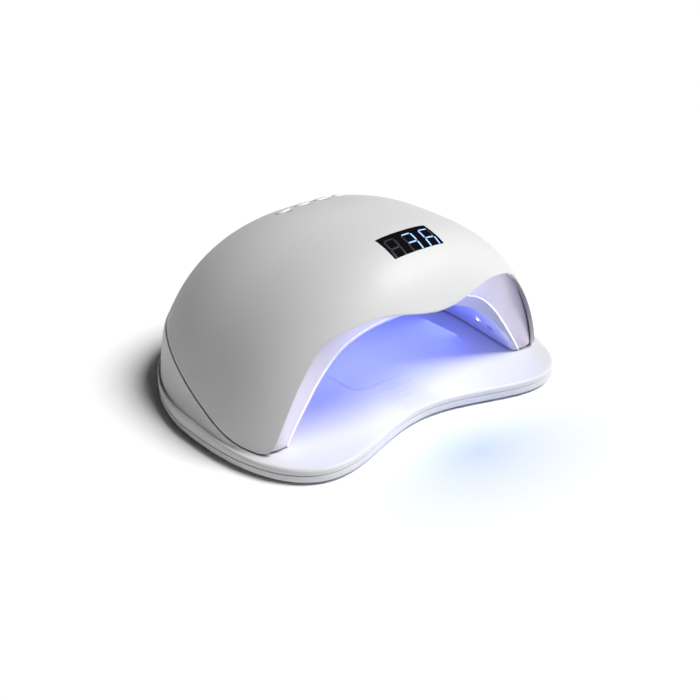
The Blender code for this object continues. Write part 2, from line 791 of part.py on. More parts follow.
def jack_frame():
    point = dome_point(math.pi / 2, JACK_HEIGHT)
    return dome_frame(0.0, point[1])


def jack_cut():
    return placed(cylinder_mesh(5.8, -8.0, 8.0, 14), jack_frame())


def make_dc_jack(housing_material, pin_material):
    """A round socket with a flange outside the dome and a contact pin down its middle."""
    profile = [(3.2, 1.4), (6.8, 1.4), (7.2, 1.0), (7.2, 0.7), (5.5, 0.7), (5.5, -13.0), (1.4, -13.0),
               (1.4, -9.5), (3.2, -9.5)]
    add_body("dc_jack", *placed(turned_mesh(profile, 14, loop=True), jack_frame()), housing_material)
    pin = [(0, -0.6), (0.7, -0.7), (1.05, -1.2), (1.05, -14.5), (0, -14.5)]
    add_body("dc_pin", *placed(turned_mesh(pin, 8), jack_frame()), pin_material)


def make_head_frame(material):
    """The horseshoe that closes the head from below and carries the magnets."""
    sections = []
    start, end = FRAME_FRONT_ANGLE, math.pi - FRAME_FRONT_ANGLE
    for i in range(FRAME_STEPS + 1):
        angle = start + (end - start) * i / FRAME_STEPS
        outer = frame_radius(angle)
        inner = vault_radius(angle, VAULT_WALL + 1.3)
        top = seam_at(angle) + FRAME_SPIGOT
        floor = FRAME_BOTTOM + FRAME_FLOOR
        profile = [(inner, FRAME_BOTTOM), (outer, FRAME_BOTTOM), (outer, top), (outer - FRAME_WALL, top),
                   (outer - FRAME_WALL, floor), (inner, floor)]
        sections.append([polar(angle, radius, height) for radius, height in profile])
    frame = add_body("head_frame", *swept_mesh(sections), material)
    cuts = [placed(counterbore_mesh(FRAME_BOTTOM - 1, FRAME_BOTTOM + 1.5, 16.0), at(x, y))
            for _, x, y in both_sides(HEAD_SCREW_PLACES)]
    boolean(frame, "DIFFERENCE", joined(cuts))


def bezel_section(opening, angle_height, vault):
    """One section of the bezel: lip side, crease, reflector side, and the same again behind."""
    angle, height = angle_height
    lip = edge_point(angle, height, BEZEL_INSET)
    inner = np.array([vault[0], VAULT_FRONT_Y, vault[1]])
    crease = lip + (inner - lip) * BEZEL_CREASE
    forward = np.array([0.0, -1.0, 0.0])
    crease = crease + forward * BEZEL_CREASE_FORWARD * min(1.0, abs(opening[0]) / 60.0)
    return lip, crease, inner


def make_front_bezel(material):
    opening = spline(OPENING_EDGE[:-1], OPENING_STEPS + 1)
    vault = spline(VAULT_EDGE, OPENING_STEPS + 1)
    right = [bezel_section(*parts) for parts in zip(opening, edge_directions(opening), vault)]
    sections = []
    for i, (lip, crease, inner) in enumerate(right):
        before, after = right[max(i - 1, 0)], right[min(i + 1, len(right) - 1)]
        along = after[1] - before[1] if i else np.array([1.0, 0.0, 0.0])
        behind = np.cross(along, inner - lip)
        behind *= BEZEL_WALL / np.linalg.norm(behind)
        if behind[1] + behind[2] < 0:
            behind = -behind
        edge_step = vault[min(i + 1, len(vault) - 1)] - vault[max(i - 1, 0)] if i else np.array([1.0, 0.0])
        outward = np.array([-edge_step[1], 0.0, edge_step[0]]) * BEZEL_WALL / np.linalg.norm(edge_step)
        sections.append([lip, crease, inner, inner + outward, crease + behind, lip + behind])
    mirrored = [[point * (-1, 1, 1) for point in section] for section in sections[:0:-1]]
    add_body("front_bezel", *swept_mesh(mirrored + sections), material)


def make_reflector(material):
    """The vaulted liner, with a hole for each light source and each sensor."""
    rows = [VAULT_FRONT_Y + GAP, -39.0]
    for share in (0.0, 0.3, 0.55, 0.75, 0.88, 0.955, 0.994):
        rows.append(VAULT_WIDE_Y + (VAULT_REAR_Y - VAULT_WIDE_Y) * share)
    shares = np.linspace(1, -1, VAULT_STEPS + 1)
    sections = []
    for y in rows:
        inside = [vault_point(y, share) for share in shares]
        outside = [vault_outside(y, share, VAULT_WALL) for share in shares[::-1]]
        sections.append(inside + outside)
    liner = add_body("reflector_liner", *swept_mesh(sections), material)
    boolean(liner, "UNION", joined(board_posts()))
    holes = []
    for y, count in LED_ROWS.values():
        for share in np.linspace(-LED_REACH, LED_REACH, count):
            holes.append(placed(cylinder_mesh(LED_HOLE_RADIUS, -3.0, VAULT_WALL + 3.0, 8),
                                vault_frame(y, share)))
    for side in (-1, 1):
        holes.append(placed(cylinder_mesh(SENSOR_RADIUS + GAP, -3.0, VAULT_WALL + 3.0, 8),
                            vault_frame(SENSOR_Y, side * SENSOR_PLACE)))
    boolean(liner, "DIFFERENCE", joined(holes))


def board_posts():
    """Posts that rise from the reflector's outer side to the main board."""
    posts = []
    for _, x, y in both_sides(BOARD_POST_PLACES):
        roof = [vault_outside(y, share, VAULT_WALL) for share in np.linspace(0.0, 0.6, 60)]
        low = min(point[2] for point in roof if abs(point[0] - abs(x)) < BOARD_POST_RADIUS + 0.5)
        posts.append(placed(cylinder_mesh(BOARD_POST_RADIUS, low - 0.5, MAIN_BOARD_Z - GAP, 10), at(x, y)))
    return posts


def make_led_strips(material):
    """Arched strips behind the reflector, with a domed bead through each of its holes."""
    near, far, half_width = VAULT_WALL + 0.7, VAULT_WALL + 1.6, 4.0
    for name, (y, count) in LED_ROWS.items():
        sections = []
        for share in np.linspace(-LED_REACH - 0.04, LED_REACH + 0.04, 17):
            sections.append([vault_outside(y + side, share, distance)
                             for distance, side in ((near, -half_width), (near, half_width),
                                                    (far, half_width), (far, -half_width))])
        strip = add_body(name, *swept_mesh(sections), material)
        bead = turned_mesh([(0, near + 0.4), (LED_RADIUS, near + 0.4), (LED_RADIUS, 0.2),
                            (LED_RADIUS * 0.6, -0.9), (0, -1.1)], 8)
        beads = [placed(bead, vault_frame(y, share)) for share in np.linspace(-LED_REACH, LED_REACH, count)]
        boolean(strip, "UNION", joined(beads))


def make_sensors(material):
    for name, side in (("ir_receiver", 1), ("ir_emitter", -1)):
        profile = [(0, 8.0), (SENSOR_RADIUS, 8.0), (SENSOR_RADIUS, 1.1), (SENSOR_RADIUS * 0.7, 0.6), (0, 0.5)]
        place = vault_frame(SENSOR_Y, side * SENSOR_PLACE)
        add_body(name, *placed(turned_mesh(profile, 12), place), material)


def make_main_board(materials):
    """The driver board on four posts over the reflector, and the larger parts on it."""
    width, depth = MAIN_BOARD_SIZE
    top = MAIN_BOARD_Z + 1.6
    board = prism_mesh(rounded_rectangle(width, depth, 2.0, 2), MAIN_BOARD_Z, top)
    add_body("main_board", *placed(board, at(0, MAIN_BOARD_Y)), materials["board"])
    seat = top + GAP
    drum = [(0, seat + 8), (6.5, seat + 8), (6.5, seat + 6.4), (4.6, seat + 6.0), (4.6, seat + 2.0),
            (6.5, seat + 1.6), (6.5, seat), (0, seat)]
    add_body("inductor", *placed(turned_mesh(drum, 12), at(-28, MAIN_BOARD_Y)), materials["black"])
    can = [(0, seat + 12.5), (3.6, seat + 12.5), (4.0, seat + 12.0), (4.0, seat + 1.8), (3.6, seat + 1.4),
           (4.0, seat + 1.0), (4.0, seat), (0, seat)]
    for number, x in ((1, -12), (2, -2)):
        add_body(f"capacitor_{number}", *placed(turned_mesh(can, 10), at(x, MAIN_BOARD_Y - 6)),
                 materials["metal"])
    chip = prism_mesh(rounded_rectangle(10.0, 8.0, 0.4, 1), seat, seat + 2.0)
    add_body("driver_chip", *placed(chip, at(14, MAIN_BOARD_Y + 4)), materials["black"])
    header = prism_mesh(rounded_rectangle(7.0, 14.0, 0.6, 1), seat, seat + 6.0)
    add_body("led_connector", *placed(header, at(33, MAIN_BOARD_Y)), materials["switch"])


def add_wire(name, points, radius, material):
    """A round wire along a smooth path through a few points."""
    path = np.array(points, float)
    fine = smooth_path(2 * path[0] - path[1], path, 2 * path[-1] - path[-2], 3)
    curve = bpy.data.curves.new(name, "CURVE")
    curve.dimensions = "3D"
    curve.bevel_depth = radius * MM
    curve.bevel_resolution = 1
    curve.use_fill_caps = True
    line = curve.splines.new("POLY")
    line.points.add(len(fine) - 1)
    for knot, place in zip(line.points, fine):
        knot.co = (*(place * MM), 1.0)
    curve.materials.append(material)
    obj = bpy.data.objects.new(name, curve)
    bpy.context.scene.collection.objects.link(obj)


def make_wires(dark_material, light_material):
    jack_end = jack_frame() @ Vector((0, 0, -15.6))
    board_top = MAIN_BOARD_Z + 1.6
    add_wire("power_lead", [jack_end, jack_end + Vector((0, -6, 4)), (-22, 44, board_top + 6),
                            (-36, 30, board_top + 6), (-38, MAIN_BOARD_Y + 14, board_top + 1.4)],
             1.1, dark_material)
    display_end = dome_frame(0, -64.7) @ Vector((12, 6, -13.2))
    add_wire("display_lead", [display_end, (14, -46, 84), (15, -30, 82),
                              (15, MAIN_BOARD_Y - 16, board_top + 1.2)],
             0.9, light_material)
    board_end = board_frame() @ Vector((22, 0, -3.6))
    add_wire("button_lead", [board_end, (24, 24, 84), (24, MAIN_BOARD_Y + 12, board_top + 1.2)],
             0.9, light_material)


def main():
    clear_scene()
    bpy.context.scene.unit_settings.scale_length = 1.0
    white = plain_material("white_shell", (0.86, 0.86, 0.87), 0.22)
    tray_white = plain_material("white_tray", (0.84, 0.84, 0.85), 0.25)
    bezel_white = plain_material("white_bezel", (0.82, 0.80, 0.90), 0.3)
    liner_white = plain_material("white_liner", (0.72, 0.74, 0.92), 0.3)
    cap_white = plain_material("white_button", (0.9, 0.9, 0.9), 0.2)
    frame_white = plain_material("white_frame", (0.78, 0.78, 0.78), 0.45)
    rubber = plain_material("grey_rubber", (0.2, 0.2, 0.21), 0.8)
    steel = plain_material("steel", (0.6, 0.6, 0.62), 0.3, 1.0)
    magnet = plain_material("magnet_plating", (0.7, 0.7, 0.72), 0.2, 1.0)
    window = plain_material("window_black", (0.01, 0.01, 0.014), 0.08)
    board = plain_material("board_green", (0.03, 0.2, 0.08), 0.5)
    black = plain_material("black_plastic", (0.02, 0.02, 0.022), 0.4)
    switch = plain_material("switch_plastic", (0.7, 0.68, 0.6), 0.5)
    strip = plain_material("led_strip_white", (0.85, 0.87, 0.95), 0.3)
    lead = plain_material("lead_red", (0.5, 0.03, 0.03), 0.5)

    make_tray_cover(tray_white)
    make_bottom_plate(tray_white)
    make_feet(rubber)
    make_screws("base_screw", BASE_SCREW_PLACES, PLATE_BOTTOM + 1.9 - GAP, 4.2, steel)
    make_discs("keeper", MAGNET_PLACES, 5.9, TRAY_TOP - TRAY_WALL - GAP, steel)

    make_dome_shell(white)
    make_head_frame(frame_white)
    make_front_bezel(bezel_white)
    make_reflector(liner_white)
    frame_top = FRAME_BOTTOM + FRAME_FLOOR
    make_discs("magnet", MAGNET_PLACES, frame_top + GAP, frame_top + 2.4, magnet)
    make_screws("head_screw", HEAD_SCREW_PLACES, FRAME_BOTTOM + 1.5 - GAP, 12.0, steel)
    make_led_strips(strip)
    make_sensors(black)
    make_main_board({"board": board, "black": black, "metal": steel, "switch": switch})
    make_display_window(window)
    make_display(board, black)
    make_button_board(board, switch)
    make_dc_jack(black, steel)
    make_wires(black, lead)
    make_buttons(cap_white)


main()
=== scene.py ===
"""The looks of the UV curing lamp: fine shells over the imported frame, procedural materials and a soft studio.

Sizes are in millimetres, as in the design, and each mesh is scaled to metres as it is made. +Z is up, -Y is
the open front, and the origin is under the middle of the lamp, on the plane of its feet.
"""

import json
import math

import bmesh
import bpy
import numpy as np
from mathutils import Matrix, Vector

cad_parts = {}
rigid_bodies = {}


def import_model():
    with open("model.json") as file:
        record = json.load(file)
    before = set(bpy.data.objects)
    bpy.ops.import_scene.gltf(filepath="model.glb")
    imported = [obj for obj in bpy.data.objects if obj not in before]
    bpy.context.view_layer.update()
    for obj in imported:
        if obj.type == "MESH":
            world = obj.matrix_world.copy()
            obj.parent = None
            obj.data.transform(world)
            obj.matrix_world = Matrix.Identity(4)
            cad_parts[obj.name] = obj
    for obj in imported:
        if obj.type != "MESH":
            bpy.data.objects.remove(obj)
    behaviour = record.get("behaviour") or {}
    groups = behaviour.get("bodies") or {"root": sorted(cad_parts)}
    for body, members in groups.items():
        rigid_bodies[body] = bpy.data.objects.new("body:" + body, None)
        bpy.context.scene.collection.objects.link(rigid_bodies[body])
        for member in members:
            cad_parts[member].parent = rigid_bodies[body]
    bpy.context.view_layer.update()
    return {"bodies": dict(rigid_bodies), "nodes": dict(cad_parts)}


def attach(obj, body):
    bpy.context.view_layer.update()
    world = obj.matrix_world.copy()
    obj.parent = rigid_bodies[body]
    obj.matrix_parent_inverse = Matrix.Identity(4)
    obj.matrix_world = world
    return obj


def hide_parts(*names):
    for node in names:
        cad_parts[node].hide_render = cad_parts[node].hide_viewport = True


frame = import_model()

MM = 0.001
REARWARD = np.array([0.0, 1.0, 0.0])
SIDES = ("front_right", "front_left", "rear_right", "rear_left")

# Studio: the ambient light straight below and above, the key light, and the floor in metres, with a painted
# blue glow of the lamp's light on a patch in front of the lamp.
AMBIENT_BELOW = 0.33
AMBIENT_ABOVE = 0.22
KEY_FROM = Vector((0.39, -0.39, 0.84))
KEY_STRENGTH = 3.8
KEY_SOFTNESS = math.radians(30)
FLOOR_REACH = 6.0
FLOOR_WHITE = (1.0, 1.0, 1.0)
PAINTED_GLOW_BLUE = (0.58, 0.68, 0.92)
PAINTED_GLOW_PLACE = (0.0, -0.125, 0.0)
PAINTED_GLOW_REACH = (0.15, 0.095, 1.0)

# Colours of the light inside the head.
VIOLET = (0.08, 0.11, 1.0)
PALE_VIOLET = (0.26, 0.31, 0.95)
LILAC = (0.36, 0.38, 1.0)

# Camera.
CAMERA_TURN = math.radians(39.43)
CAMERA_TILT = math.radians(27.38)
CAMERA_DISTANCE = 0.6628
CAMERA_TARGET = Vector((-0.0295, -0.0504, 0.0412))
CAMERA_LENS = 61.6

# Base outline: a half ellipse behind, and two lobes with a shallow bay between them in front.
BASE_HALF_WIDTH = 115.0
BASE_WIDEST_Y = -16.6
BASE_REAR_REACH = 116.1
BASE_FRONT_REACH = 109.65
BASE_FRONT_POWER = 2.65
BAY_DEPTH = 43.7
BAY_POWER = 2.35
BASE_COLUMNS = 360
BASE_ANGLES = np.linspace(-math.pi / 2, 1.5 * math.pi, BASE_COLUMNS, endpoint=False)

# Heights in the base.
PLATE_BOTTOM = 1.2
PLATE_TOP = 5.7
PLATE_FLOOR = 2.2
PLATE_EDGE_RADIUS = 2.0
TRAY_BOTTOM = 6.0
TRAY_TOP = 9.6
TRAY_WALL = 2.2
BASE_WALL = 2.4
RIM_RADIUS = 1.7
RIM_LIFT_RATE = 0.22
RIM_LIFT_MOST = 2.6
EDGE_BREAK = 0.25
FLANK_SPREAD = 1.6
SHELF_LEAST = 1.9
SHELF_IN_FRONT = 7.0

# Raised shapes on the tray: the hand pad and the finger ribs, as (width, depth, corner, rise, fillet).
PAD = (46.0, 54.0, 9.5, 0.9, 1.6)
PAD_Y = -21.0
RIB = (25.0, 1.8, 0.85, 0.45, 0.55)
RIB_YS = (-55.0, -61.8, -69.0)

# Dome: superellipses stacked up in plan, with their own profile at the sides, front and rear.
DOME_Y = -25.7
DOME_BASE = 1.2
DOME_HEIGHT = 106.4
DOME_SIDE = (113.15, 1.71, 2.19)
DOME_FRONT = (73.36, 3.65, 3.47)
DOME_REAR = (114.83, 2.34, 2.14)
DOME_FRONT_POWER = 2.74
DOME_REAR_POWER = 2.56
DOME_WALL = 2.4
DOME_ROWS = 84
CROWN_FOOT_ANGLE = math.radians(-35)
LIP_RADIUS = 1.5
INNER_LIP_RADIUS = 0.5
LEVEL_WALL_FROM = 0.93
LEVEL_WALL_RUN = 0.07

# Seam between the dome and the tray, as a height that rises towards the rear.
SEAM_LOW = 10.3
SEAM_RISE = 29.0
SEAM_START_Y = -69.0
SEAM_RUN = 130.0
SEAM_POWER = 1.5

# Edge of the front opening seen from the front, from the middle of the brow to the tip of a foot.
OPENING_EDGE = [(0, 72.6), (35, 77.4), (55, 74.4), (69, 68.2), (81.4, 57.6), (88.6, 46.5), (93.4, 35),
                (96.6, 24), (98.4, 15.3), (99.8, 12.5), (101.8, 10.9), (104.1, 10.5)]
OPENING_STEPS = 110
SEAM_STEPS = 70

# Front edge of the reflector seen from the front, from its top to the foot, and the vault behind it.
VAULT_EDGE = [(0, 64.2), (26, 63.2), (43, 59.2), (53, 54.2), (62, 46.2), (69.5, 37.2), (78, 25.2),
              (84.5, 15.2), (87, 10.7)]
VAULT_FRONT_Y = -69.0
VAULT_WIDE_Y = -8.0
VAULT_REAR_Y = 61.0
VAULT_WIDENING = 0.045
VAULT_POWER = 2.5
VAULT_WALL = 2.0
VAULT_COLUMNS = 120
FLARE_RADIUS = 3.6
FLARE_INSET = 3.0
# Radius of the glowing rib that paints a highlight along the flare's front edge.
PAINTED_HIGHLIGHT_RIB_RADIUS = 0.4

# Front bezel, between the dome's lip and the reflector.
BEZEL_INSET = 3.0
BEZEL_WALL = 1.8
BEZEL_SET_BACK = 0.5
BEZEL_BULGE = 1.6
BEZEL_BULGE_PLACE = 0.38
BEZEL_BULGE_RUN = 60.0
BEZEL_STEPS = 110

# Lower frame of the head.
FRAME_SPIGOT = 4.0
SLIDING_GAP = 0.6
GAP = 0.3

# Fixings, as plan positions on the right side, repeated on the left.
FOOT_PLACES = [(68, -76), (66, 58)]
FOOT_RADIUS = 7.0
BASE_SCREW_PLACES = [(84, -48), (46, 60)]
SCREW_HEAD_RADIUS = 2.8
SCREW_SHANK_RADIUS = 1.2
SCREW_BOSS_RADIUS = 3.6

# Controls on the dome.
WINDOW_WIDTH = 35.0
WINDOW_FRONT_Y = -73.0
WINDOW_REAR_Y = -56.5
WINDOW_Y = (WINDOW_FRONT_Y + WINDOW_REAR_Y) / 2
WINDOW_THICKNESS = 0.7
WINDOW_GAP = 0.12
WINDOW_CORNER = 0.7
BUTTON_Y = 21.0
BUTTON_SPACING = 13.7
BUTTON_WIDTH = 10.0
BUTTON_DEPTH = 6.0
BUTTON_PROUD = 1.0
BUTTON_GAP = 0.2
BUTTON_STEM = [(0.0, -2.9), (0.9, -2.9), (0.9, -3.7), (-1.6, -3.7), (-1.6, -4.9)]
BUTTON_LABELS = ["10", "30", "60", "99"]
MARK_SIZE = 3.4
MARK_DISTANCE = 6.6
MARK_PROUD = 0.03
JACK_HEIGHT = 53.0
JACK_HOLE_RADIUS = 5.7

# Seven-segment digits, under the window.
DIGIT_HEIGHT = 14.2
DIGIT_WIDTH = 6.4
DIGIT_PITCH = 12.2
DIGIT_STROKE = 0.95
DIGIT_SLANT = math.radians(5)
DIGITS_Y = -67.2
DIGIT_LEAN = 0.953
PANE_DEPTH = 0.03
SEGMENT_PROUD = 0.03
SEGMENT_RIM_PROUD = 0.012
SEGMENT_RIM = 0.22
SEGMENT_TIP = 0.03
DIGITS_SHOWN = (None, 3, 6)
SEGMENTS_OF_DIGIT = {3: "abcdg", 6: "acdefg"}

# Light sources behind the reflector.
LED_ROWS = {"front": -44.0, "middle": -12.0, "rear": 18.0}
LEDS_IN_ROW = 9
LED_REACH = 0.84
LED_RADIUS = 2.3
SENSOR_Y = -54.0
SENSOR_PLACE = 0.87
SENSOR_RADIUS = 2.3


# ---------------------------------------------------------------------------------------------- camera

def aimed(data, place, direction):
    """A camera or a light at a place, facing along a direction."""
    obj = bpy.data.objects.new(data.name, data)
    obj.location = place
    obj.rotation_mode = "QUATERNION"
    obj.rotation_quaternion = direction.to_track_quat("-Z", "Y")
    bpy.context.scene.collection.objects.link(obj)
    return obj


def make_camera():
    forward = Vector((math.sin(CAMERA_TURN) * math.cos(CAMERA_TILT),
                      math.cos(CAMERA_TURN) * math.cos(CAMERA_TILT), -math.sin(CAMERA_TILT)))
    data = bpy.data.cameras.new("camera")
    data.lens = CAMERA_LENS
    data.clip_start = 0.01
    data.clip_end = 20.0
    bpy.context.scene.camera = aimed(data, CAMERA_TARGET - forward * CAMERA_DISTANCE, forward)


# ---------------------------------------------------------------------------------------------- meshes

def mesh_of(name, points, faces):
    """A mesh in metres from points in millimetres, with its faces turned outwards."""
    mesh = bpy.data.meshes.new(name)
    mesh.from_pydata([tuple(point) for point in np.asarray(points, float) * MM], [], faces)
    work = bmesh.new()
    work.from_mesh(mesh)
    bmesh.ops.recalc_face_normals(work, faces=work.faces)
    work.to_mesh(mesh)
    work.free()
    return mesh


def shade(mesh, angle=40):
    mesh.shade_smooth()
    mesh.set_sharp_from_angle(angle=math.radians(angle))


def piece(name, points, faces, material, body, nodes=(), slot=None):
    """A visible piece that rides on a body and stands for the CAD nodes it is given."""
    mesh = mesh_of(name, points, faces)
    shade(mesh)
    mesh.materials.append(material)
    obj = bpy.data.objects.new(name, mesh)
    bpy.context.scene.collection.objects.link(obj)
    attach(obj, body)
    if nodes:
        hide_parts(*nodes)
    return obj


def cut(obj, meshes):
    """Cuts closed bodies, given as points and faces, out of a piece."""
    points, faces = joined(meshes)
    cutter = bpy.data.objects.new("cutter", mesh_of("cutter", points, faces))
    bpy.context.scene.collection.objects.link(cutter)
    modifier = obj.modifiers.new("cut", "BOOLEAN")
    modifier.operation = "DIFFERENCE"
    modifier.object = cutter
    graph = bpy.context.evaluated_depsgraph_get()
    mesh = bpy.data.meshes.new_from_object(obj.evaluated_get(graph))
    obj.modifiers.remove(modifier)
    bpy.data.objects.remove(cutter)
    obj.data = mesh
    shade(mesh)


def ring_mesh(rings, loop=False):
    """Points and faces of a body made of rings in order. A ring of one point is a pole."""
    rings = [np.atleast_2d(ring) for ring in rings]
    points = np.vstack(rings)
    starts = np.concatenate([[0], np.cumsum([len(ring) for ring in rings])])
    faces = []
    pairs = list(zip(range(len(rings) - 1), range(1, len(rings))))
    if loop:
        pairs.append((len(rings) - 1, 0))
    for first, second in pairs:
        count = max(len(rings[first]), len(rings[second]))
        for i in range(count):
            j = (i + 1) % count
            corners = []
            for ring, step in ((first, i), (first, j), (second, j), (second, i)):
                index = int(starts[ring]) + (step if len(rings[ring]) > 1 else 0)
                if index not in corners:
                    corners.append(index)
            faces.append(corners)
    return points, faces


def swept_mesh(sections):
    """Points and faces of a body made of closed sections in order, with a cap at each end."""
    size = len(sections[0])
    points = np.vstack(sections)
    faces = []
    for k in range(len(sections) - 1):
        for i in range(size):
            j = (i + 1) % size
            faces.append([k * size + i, k * size + j, (k + 1) * size + j, (k + 1) * size + i])
    faces.append(list(range(size)))
    faces.append([(len(sections) - 1) * size + i for i in range(size)])
    return points, faces


def placed(mesh, matrix):
    points, faces = mesh
    turn = np.array(matrix.to_3x3())
    return np.asarray(points, float) @ turn.T + np.array(matrix.translation), faces


def joined(meshes):
    points = []
    faces = []
    for more_points, more_faces in meshes:
        faces.extend([[index + len(points) for index in face] for face in more_faces])
        points.extend(more_points)
    return np.array(points), faces


def level_ring(outline, height):
    """A plan outline at one height."""
    return np.column_stack([outline, np.full(len(outline), float(height))])


def pole(height, y=0.0):
    """The single point that closes a body made of rings."""
    return np.array([0.0, y, height])


def oval(half_width, half_depth, sides):
    angles = np.linspace(0, 2 * math.pi, sides, endpoint=False)
    return np.column_stack([half_width * np.cos(angles), half_depth * np.sin(angles)])


def turned_mesh(profile, sides=48, loop=False):
    """A body turned about Z from a profile of (radius, height), from its top to its bottom."""
    rings = [level_ring(oval(radius, radius, sides), height) if radius else pole(height)
             for radius, height in profile]
    return ring_mesh(rings, loop)


def drum(radius, top, bottom, sides):
    return turned_mesh([(0, top), (radius, top), (radius, bottom), (0, bottom)], sides)


def rounded_rectangle(width, depth, radius, steps=8):
    outline = []
    for quarter, (sx, sy) in enumerate(((1, 1), (-1, 1), (-1, -1), (1, -1))):
        for angle in math.pi / 2 * (quarter + np.linspace(0, 1, steps + 1)):
            outline.append((sx * (width / 2 - radius) + radius * math.cos(angle),
                            sy * (depth / 2 - radius) + radius * math.sin(angle)))
    return np.array(outline)


def prism_mesh(outline, low, high):
    return swept_mesh([level_ring(outline, low), level_ring(outline, high)])


def raised_mesh(width, depth, corner, rise, fillet, y):
    """A flat-topped step on the tray, with a rounded edge that swells down into the surface around it."""
    sunk = 0.5
    rings = []
    for share in np.linspace(0, 1, 9):
        fall = 0.5 - 0.5 * math.cos(math.pi * share)
        inset = fillet * (1 - share)
        outline = rounded_rectangle(width - 2 * inset, depth - 2 * inset, max(corner - inset, 0.2))
        rings.append(level_ring(outline, TRAY_TOP + rise - rise * fall))
    step = ring_mesh([pole(TRAY_TOP + rise), *rings, rings[-1] - (0, 0, sunk), pole(TRAY_TOP - sunk)])
    return placed(step, at(0, y))


def at(x, y, z=0.0):
    return Matrix.Translation((x, y, z))


def both_sides(places):
    """Each plan position on the right side and its mirror image on the left, with a name for each."""
    named = []
    for place, end in zip(places, ("front", "rear")):
        named.append((f"{end}_right", *place))
        named.append((f"{end}_left", -place[0], place[1]))
    return named


def spline(points, count):
    """Points at even steps along a smooth curve that starts level on the middle plane x = 0."""
    path = np.array(points, float)
    path = np.vstack([path[1] * (-1, 1), path, 2 * path[-1] - path[-2]])
    fine = []
    for p0, p1, p2, p3 in zip(path, path[1:], path[2:], path[3:]):
        for t in np.linspace(0, 1, 40, endpoint=False):
            fine.append(0.5 * (2 * p1 + (p2 - p0) * t + (2 * p0 - 5 * p1 + 4 * p2 - p3) * t**2
                               + (3 * p1 - p0 - 3 * p2 + p3) * t**3))
    fine = np.array(fine + [path[-2]])
    along = np.concatenate([[0], np.cumsum(np.linalg.norm(np.diff(fine, axis=0), axis=1))])
    steps = np.linspace(0, along[-1], count)
    return np.column_stack([np.interp(steps, along, fine[:, k]) for k in range(2)])


def unit(vectors):
    return vectors / np.linalg.norm(vectors, axis=-1, keepdims=True)


def smooth_step(value):
    value = np.clip(value, 0, 1)
    return value * value * (3 - 2 * value)


# ---------------------------------------------------------------------------------------- dome formulas

def dome_reach(shape, height):
    extent, rise, rounding = shape
    share = np.clip((height - DOME_BASE) / DOME_HEIGHT, 0, 1)
    return np.maximum(extent * (1 - share**rise) ** (1 / rounding), 1e-6)


def dome_radius(angle, height):
    rear = np.sin(angle) >= 0
    power = np.where(rear, DOME_REAR_POWER, DOME_FRONT_POWER)
    side = dome_reach(DOME_SIDE, height)
    end = np.where(rear, dome_reach(DOME_REAR, height), dome_reach(DOME_FRONT, height))
    return ((np.abs(np.cos(angle)) / side) ** power + (np.abs(np.sin(angle)) / end) ** power) ** (-1 / power)


def polar(angle, radius, height):
    """Points by their direction and distance from the dome's centre line, and their height."""
    return np.stack([radius * np.cos(angle), DOME_Y + radius * np.sin(angle), height + 0 * radius], -1)


def dome_surface(angle, height):
    return polar(angle, dome_radius(angle, height), height)


def dome_normal(angle, height):
    turn, rise = 1e-3, 0.02
    height = np.minimum(height, DOME_BASE + DOME_HEIGHT - 2 * rise)
    around = dome_surface(angle + turn, height) - dome_surface(angle - turn, height)
    up = dome_surface(angle, height + rise) - dome_surface(angle, height - rise)
    return unit(np.cross(around, up))


def level_inset(normal):
    """The level step that goes straight in through a wall one millimetre thick."""
    level = normal * (1, 1, 0)
    return level / np.sum(level * level, axis=-1, keepdims=True)


def dome_height(x, y):
    """Height of the dome's outer surface over plan positions."""
    x, y = np.broadcast_arrays(np.asarray(x, float), np.asarray(y, float))
    angle, distance = np.arctan2(y - DOME_Y, x), np.hypot(x, y - DOME_Y)
    low = np.full(x.shape, DOME_BASE)
    high = np.full(x.shape, DOME_BASE + DOME_HEIGHT)
    for _ in range(40):
        middle = (low + high) / 2
        inside = dome_radius(angle, middle) > distance
        low, high = np.where(inside, middle, low), np.where(inside, high, middle)
    return low


def frame_at(point, normal):
    """A matrix at a point, with Z along a normal and X across the lamp."""
    up = Vector(normal)
    across = Vector((0, 1, 0)).cross(up).normalized()
    turn = Matrix((across, up.cross(across), up)).transposed().to_4x4()
    return Matrix.Translation(Vector(point)) @ turn


def dome_frame(x, y):
    height = float(dome_height(x, y))
    return frame_at((x, y, height), dome_normal(math.atan2(y - DOME_Y, x), height))


def seam_height(y):
    share = np.clip((y - SEAM_START_Y) / SEAM_RUN, 0, 1)
    return SEAM_LOW + SEAM_RISE * np.sin(math.pi / 2 * share) ** SEAM_POWER


def seam_at(angle):
    """Height of the seam in one direction from the dome's centre line."""
    height = SEAM_LOW + 0 * np.asarray(angle, float)
    for _ in range(20):
        height = seam_height(dome_surface(angle, height)[..., 1])
    return height


def edge_direction(x, z):
    """Direction from the dome's centre line of the point of its front at one x and z."""
    side = dome_reach(DOME_SIDE, z)
    reach = dome_reach(DOME_FRONT, z) * (1 - (x / side) ** DOME_FRONT_POWER) ** (1 / DOME_FRONT_POWER)
    return np.arctan2(-reach, x)


# ------------------------------------------------------------------------------------------- dome shell

def dome_columns():
    """(direction at the edge, height at the edge, direction at the crown) all the way round."""
    x, z = spline(OPENING_EDGE, OPENING_STEPS + 1).T
    front = np.column_stack([edge_direction(x, z), z,
                             np.linspace(-math.pi / 2, CROWN_FOOT_ANGLE, OPENING_STEPS + 1)])
    directions = np.linspace(front[-1, 0], math.pi / 2, SEAM_STEPS + 1)[1:]
    seam = np.column_stack([directions, seam_at(directions),
                            np.linspace(CROWN_FOOT_ANGLE, math.pi / 2, SEAM_STEPS + 1)[1:]])
    right = np.vstack([front, seam])
    left = right[-2:0:-1] * (-1, 1, -1) + (math.pi, 0, math.pi)
    return np.vstack([right, left]).T


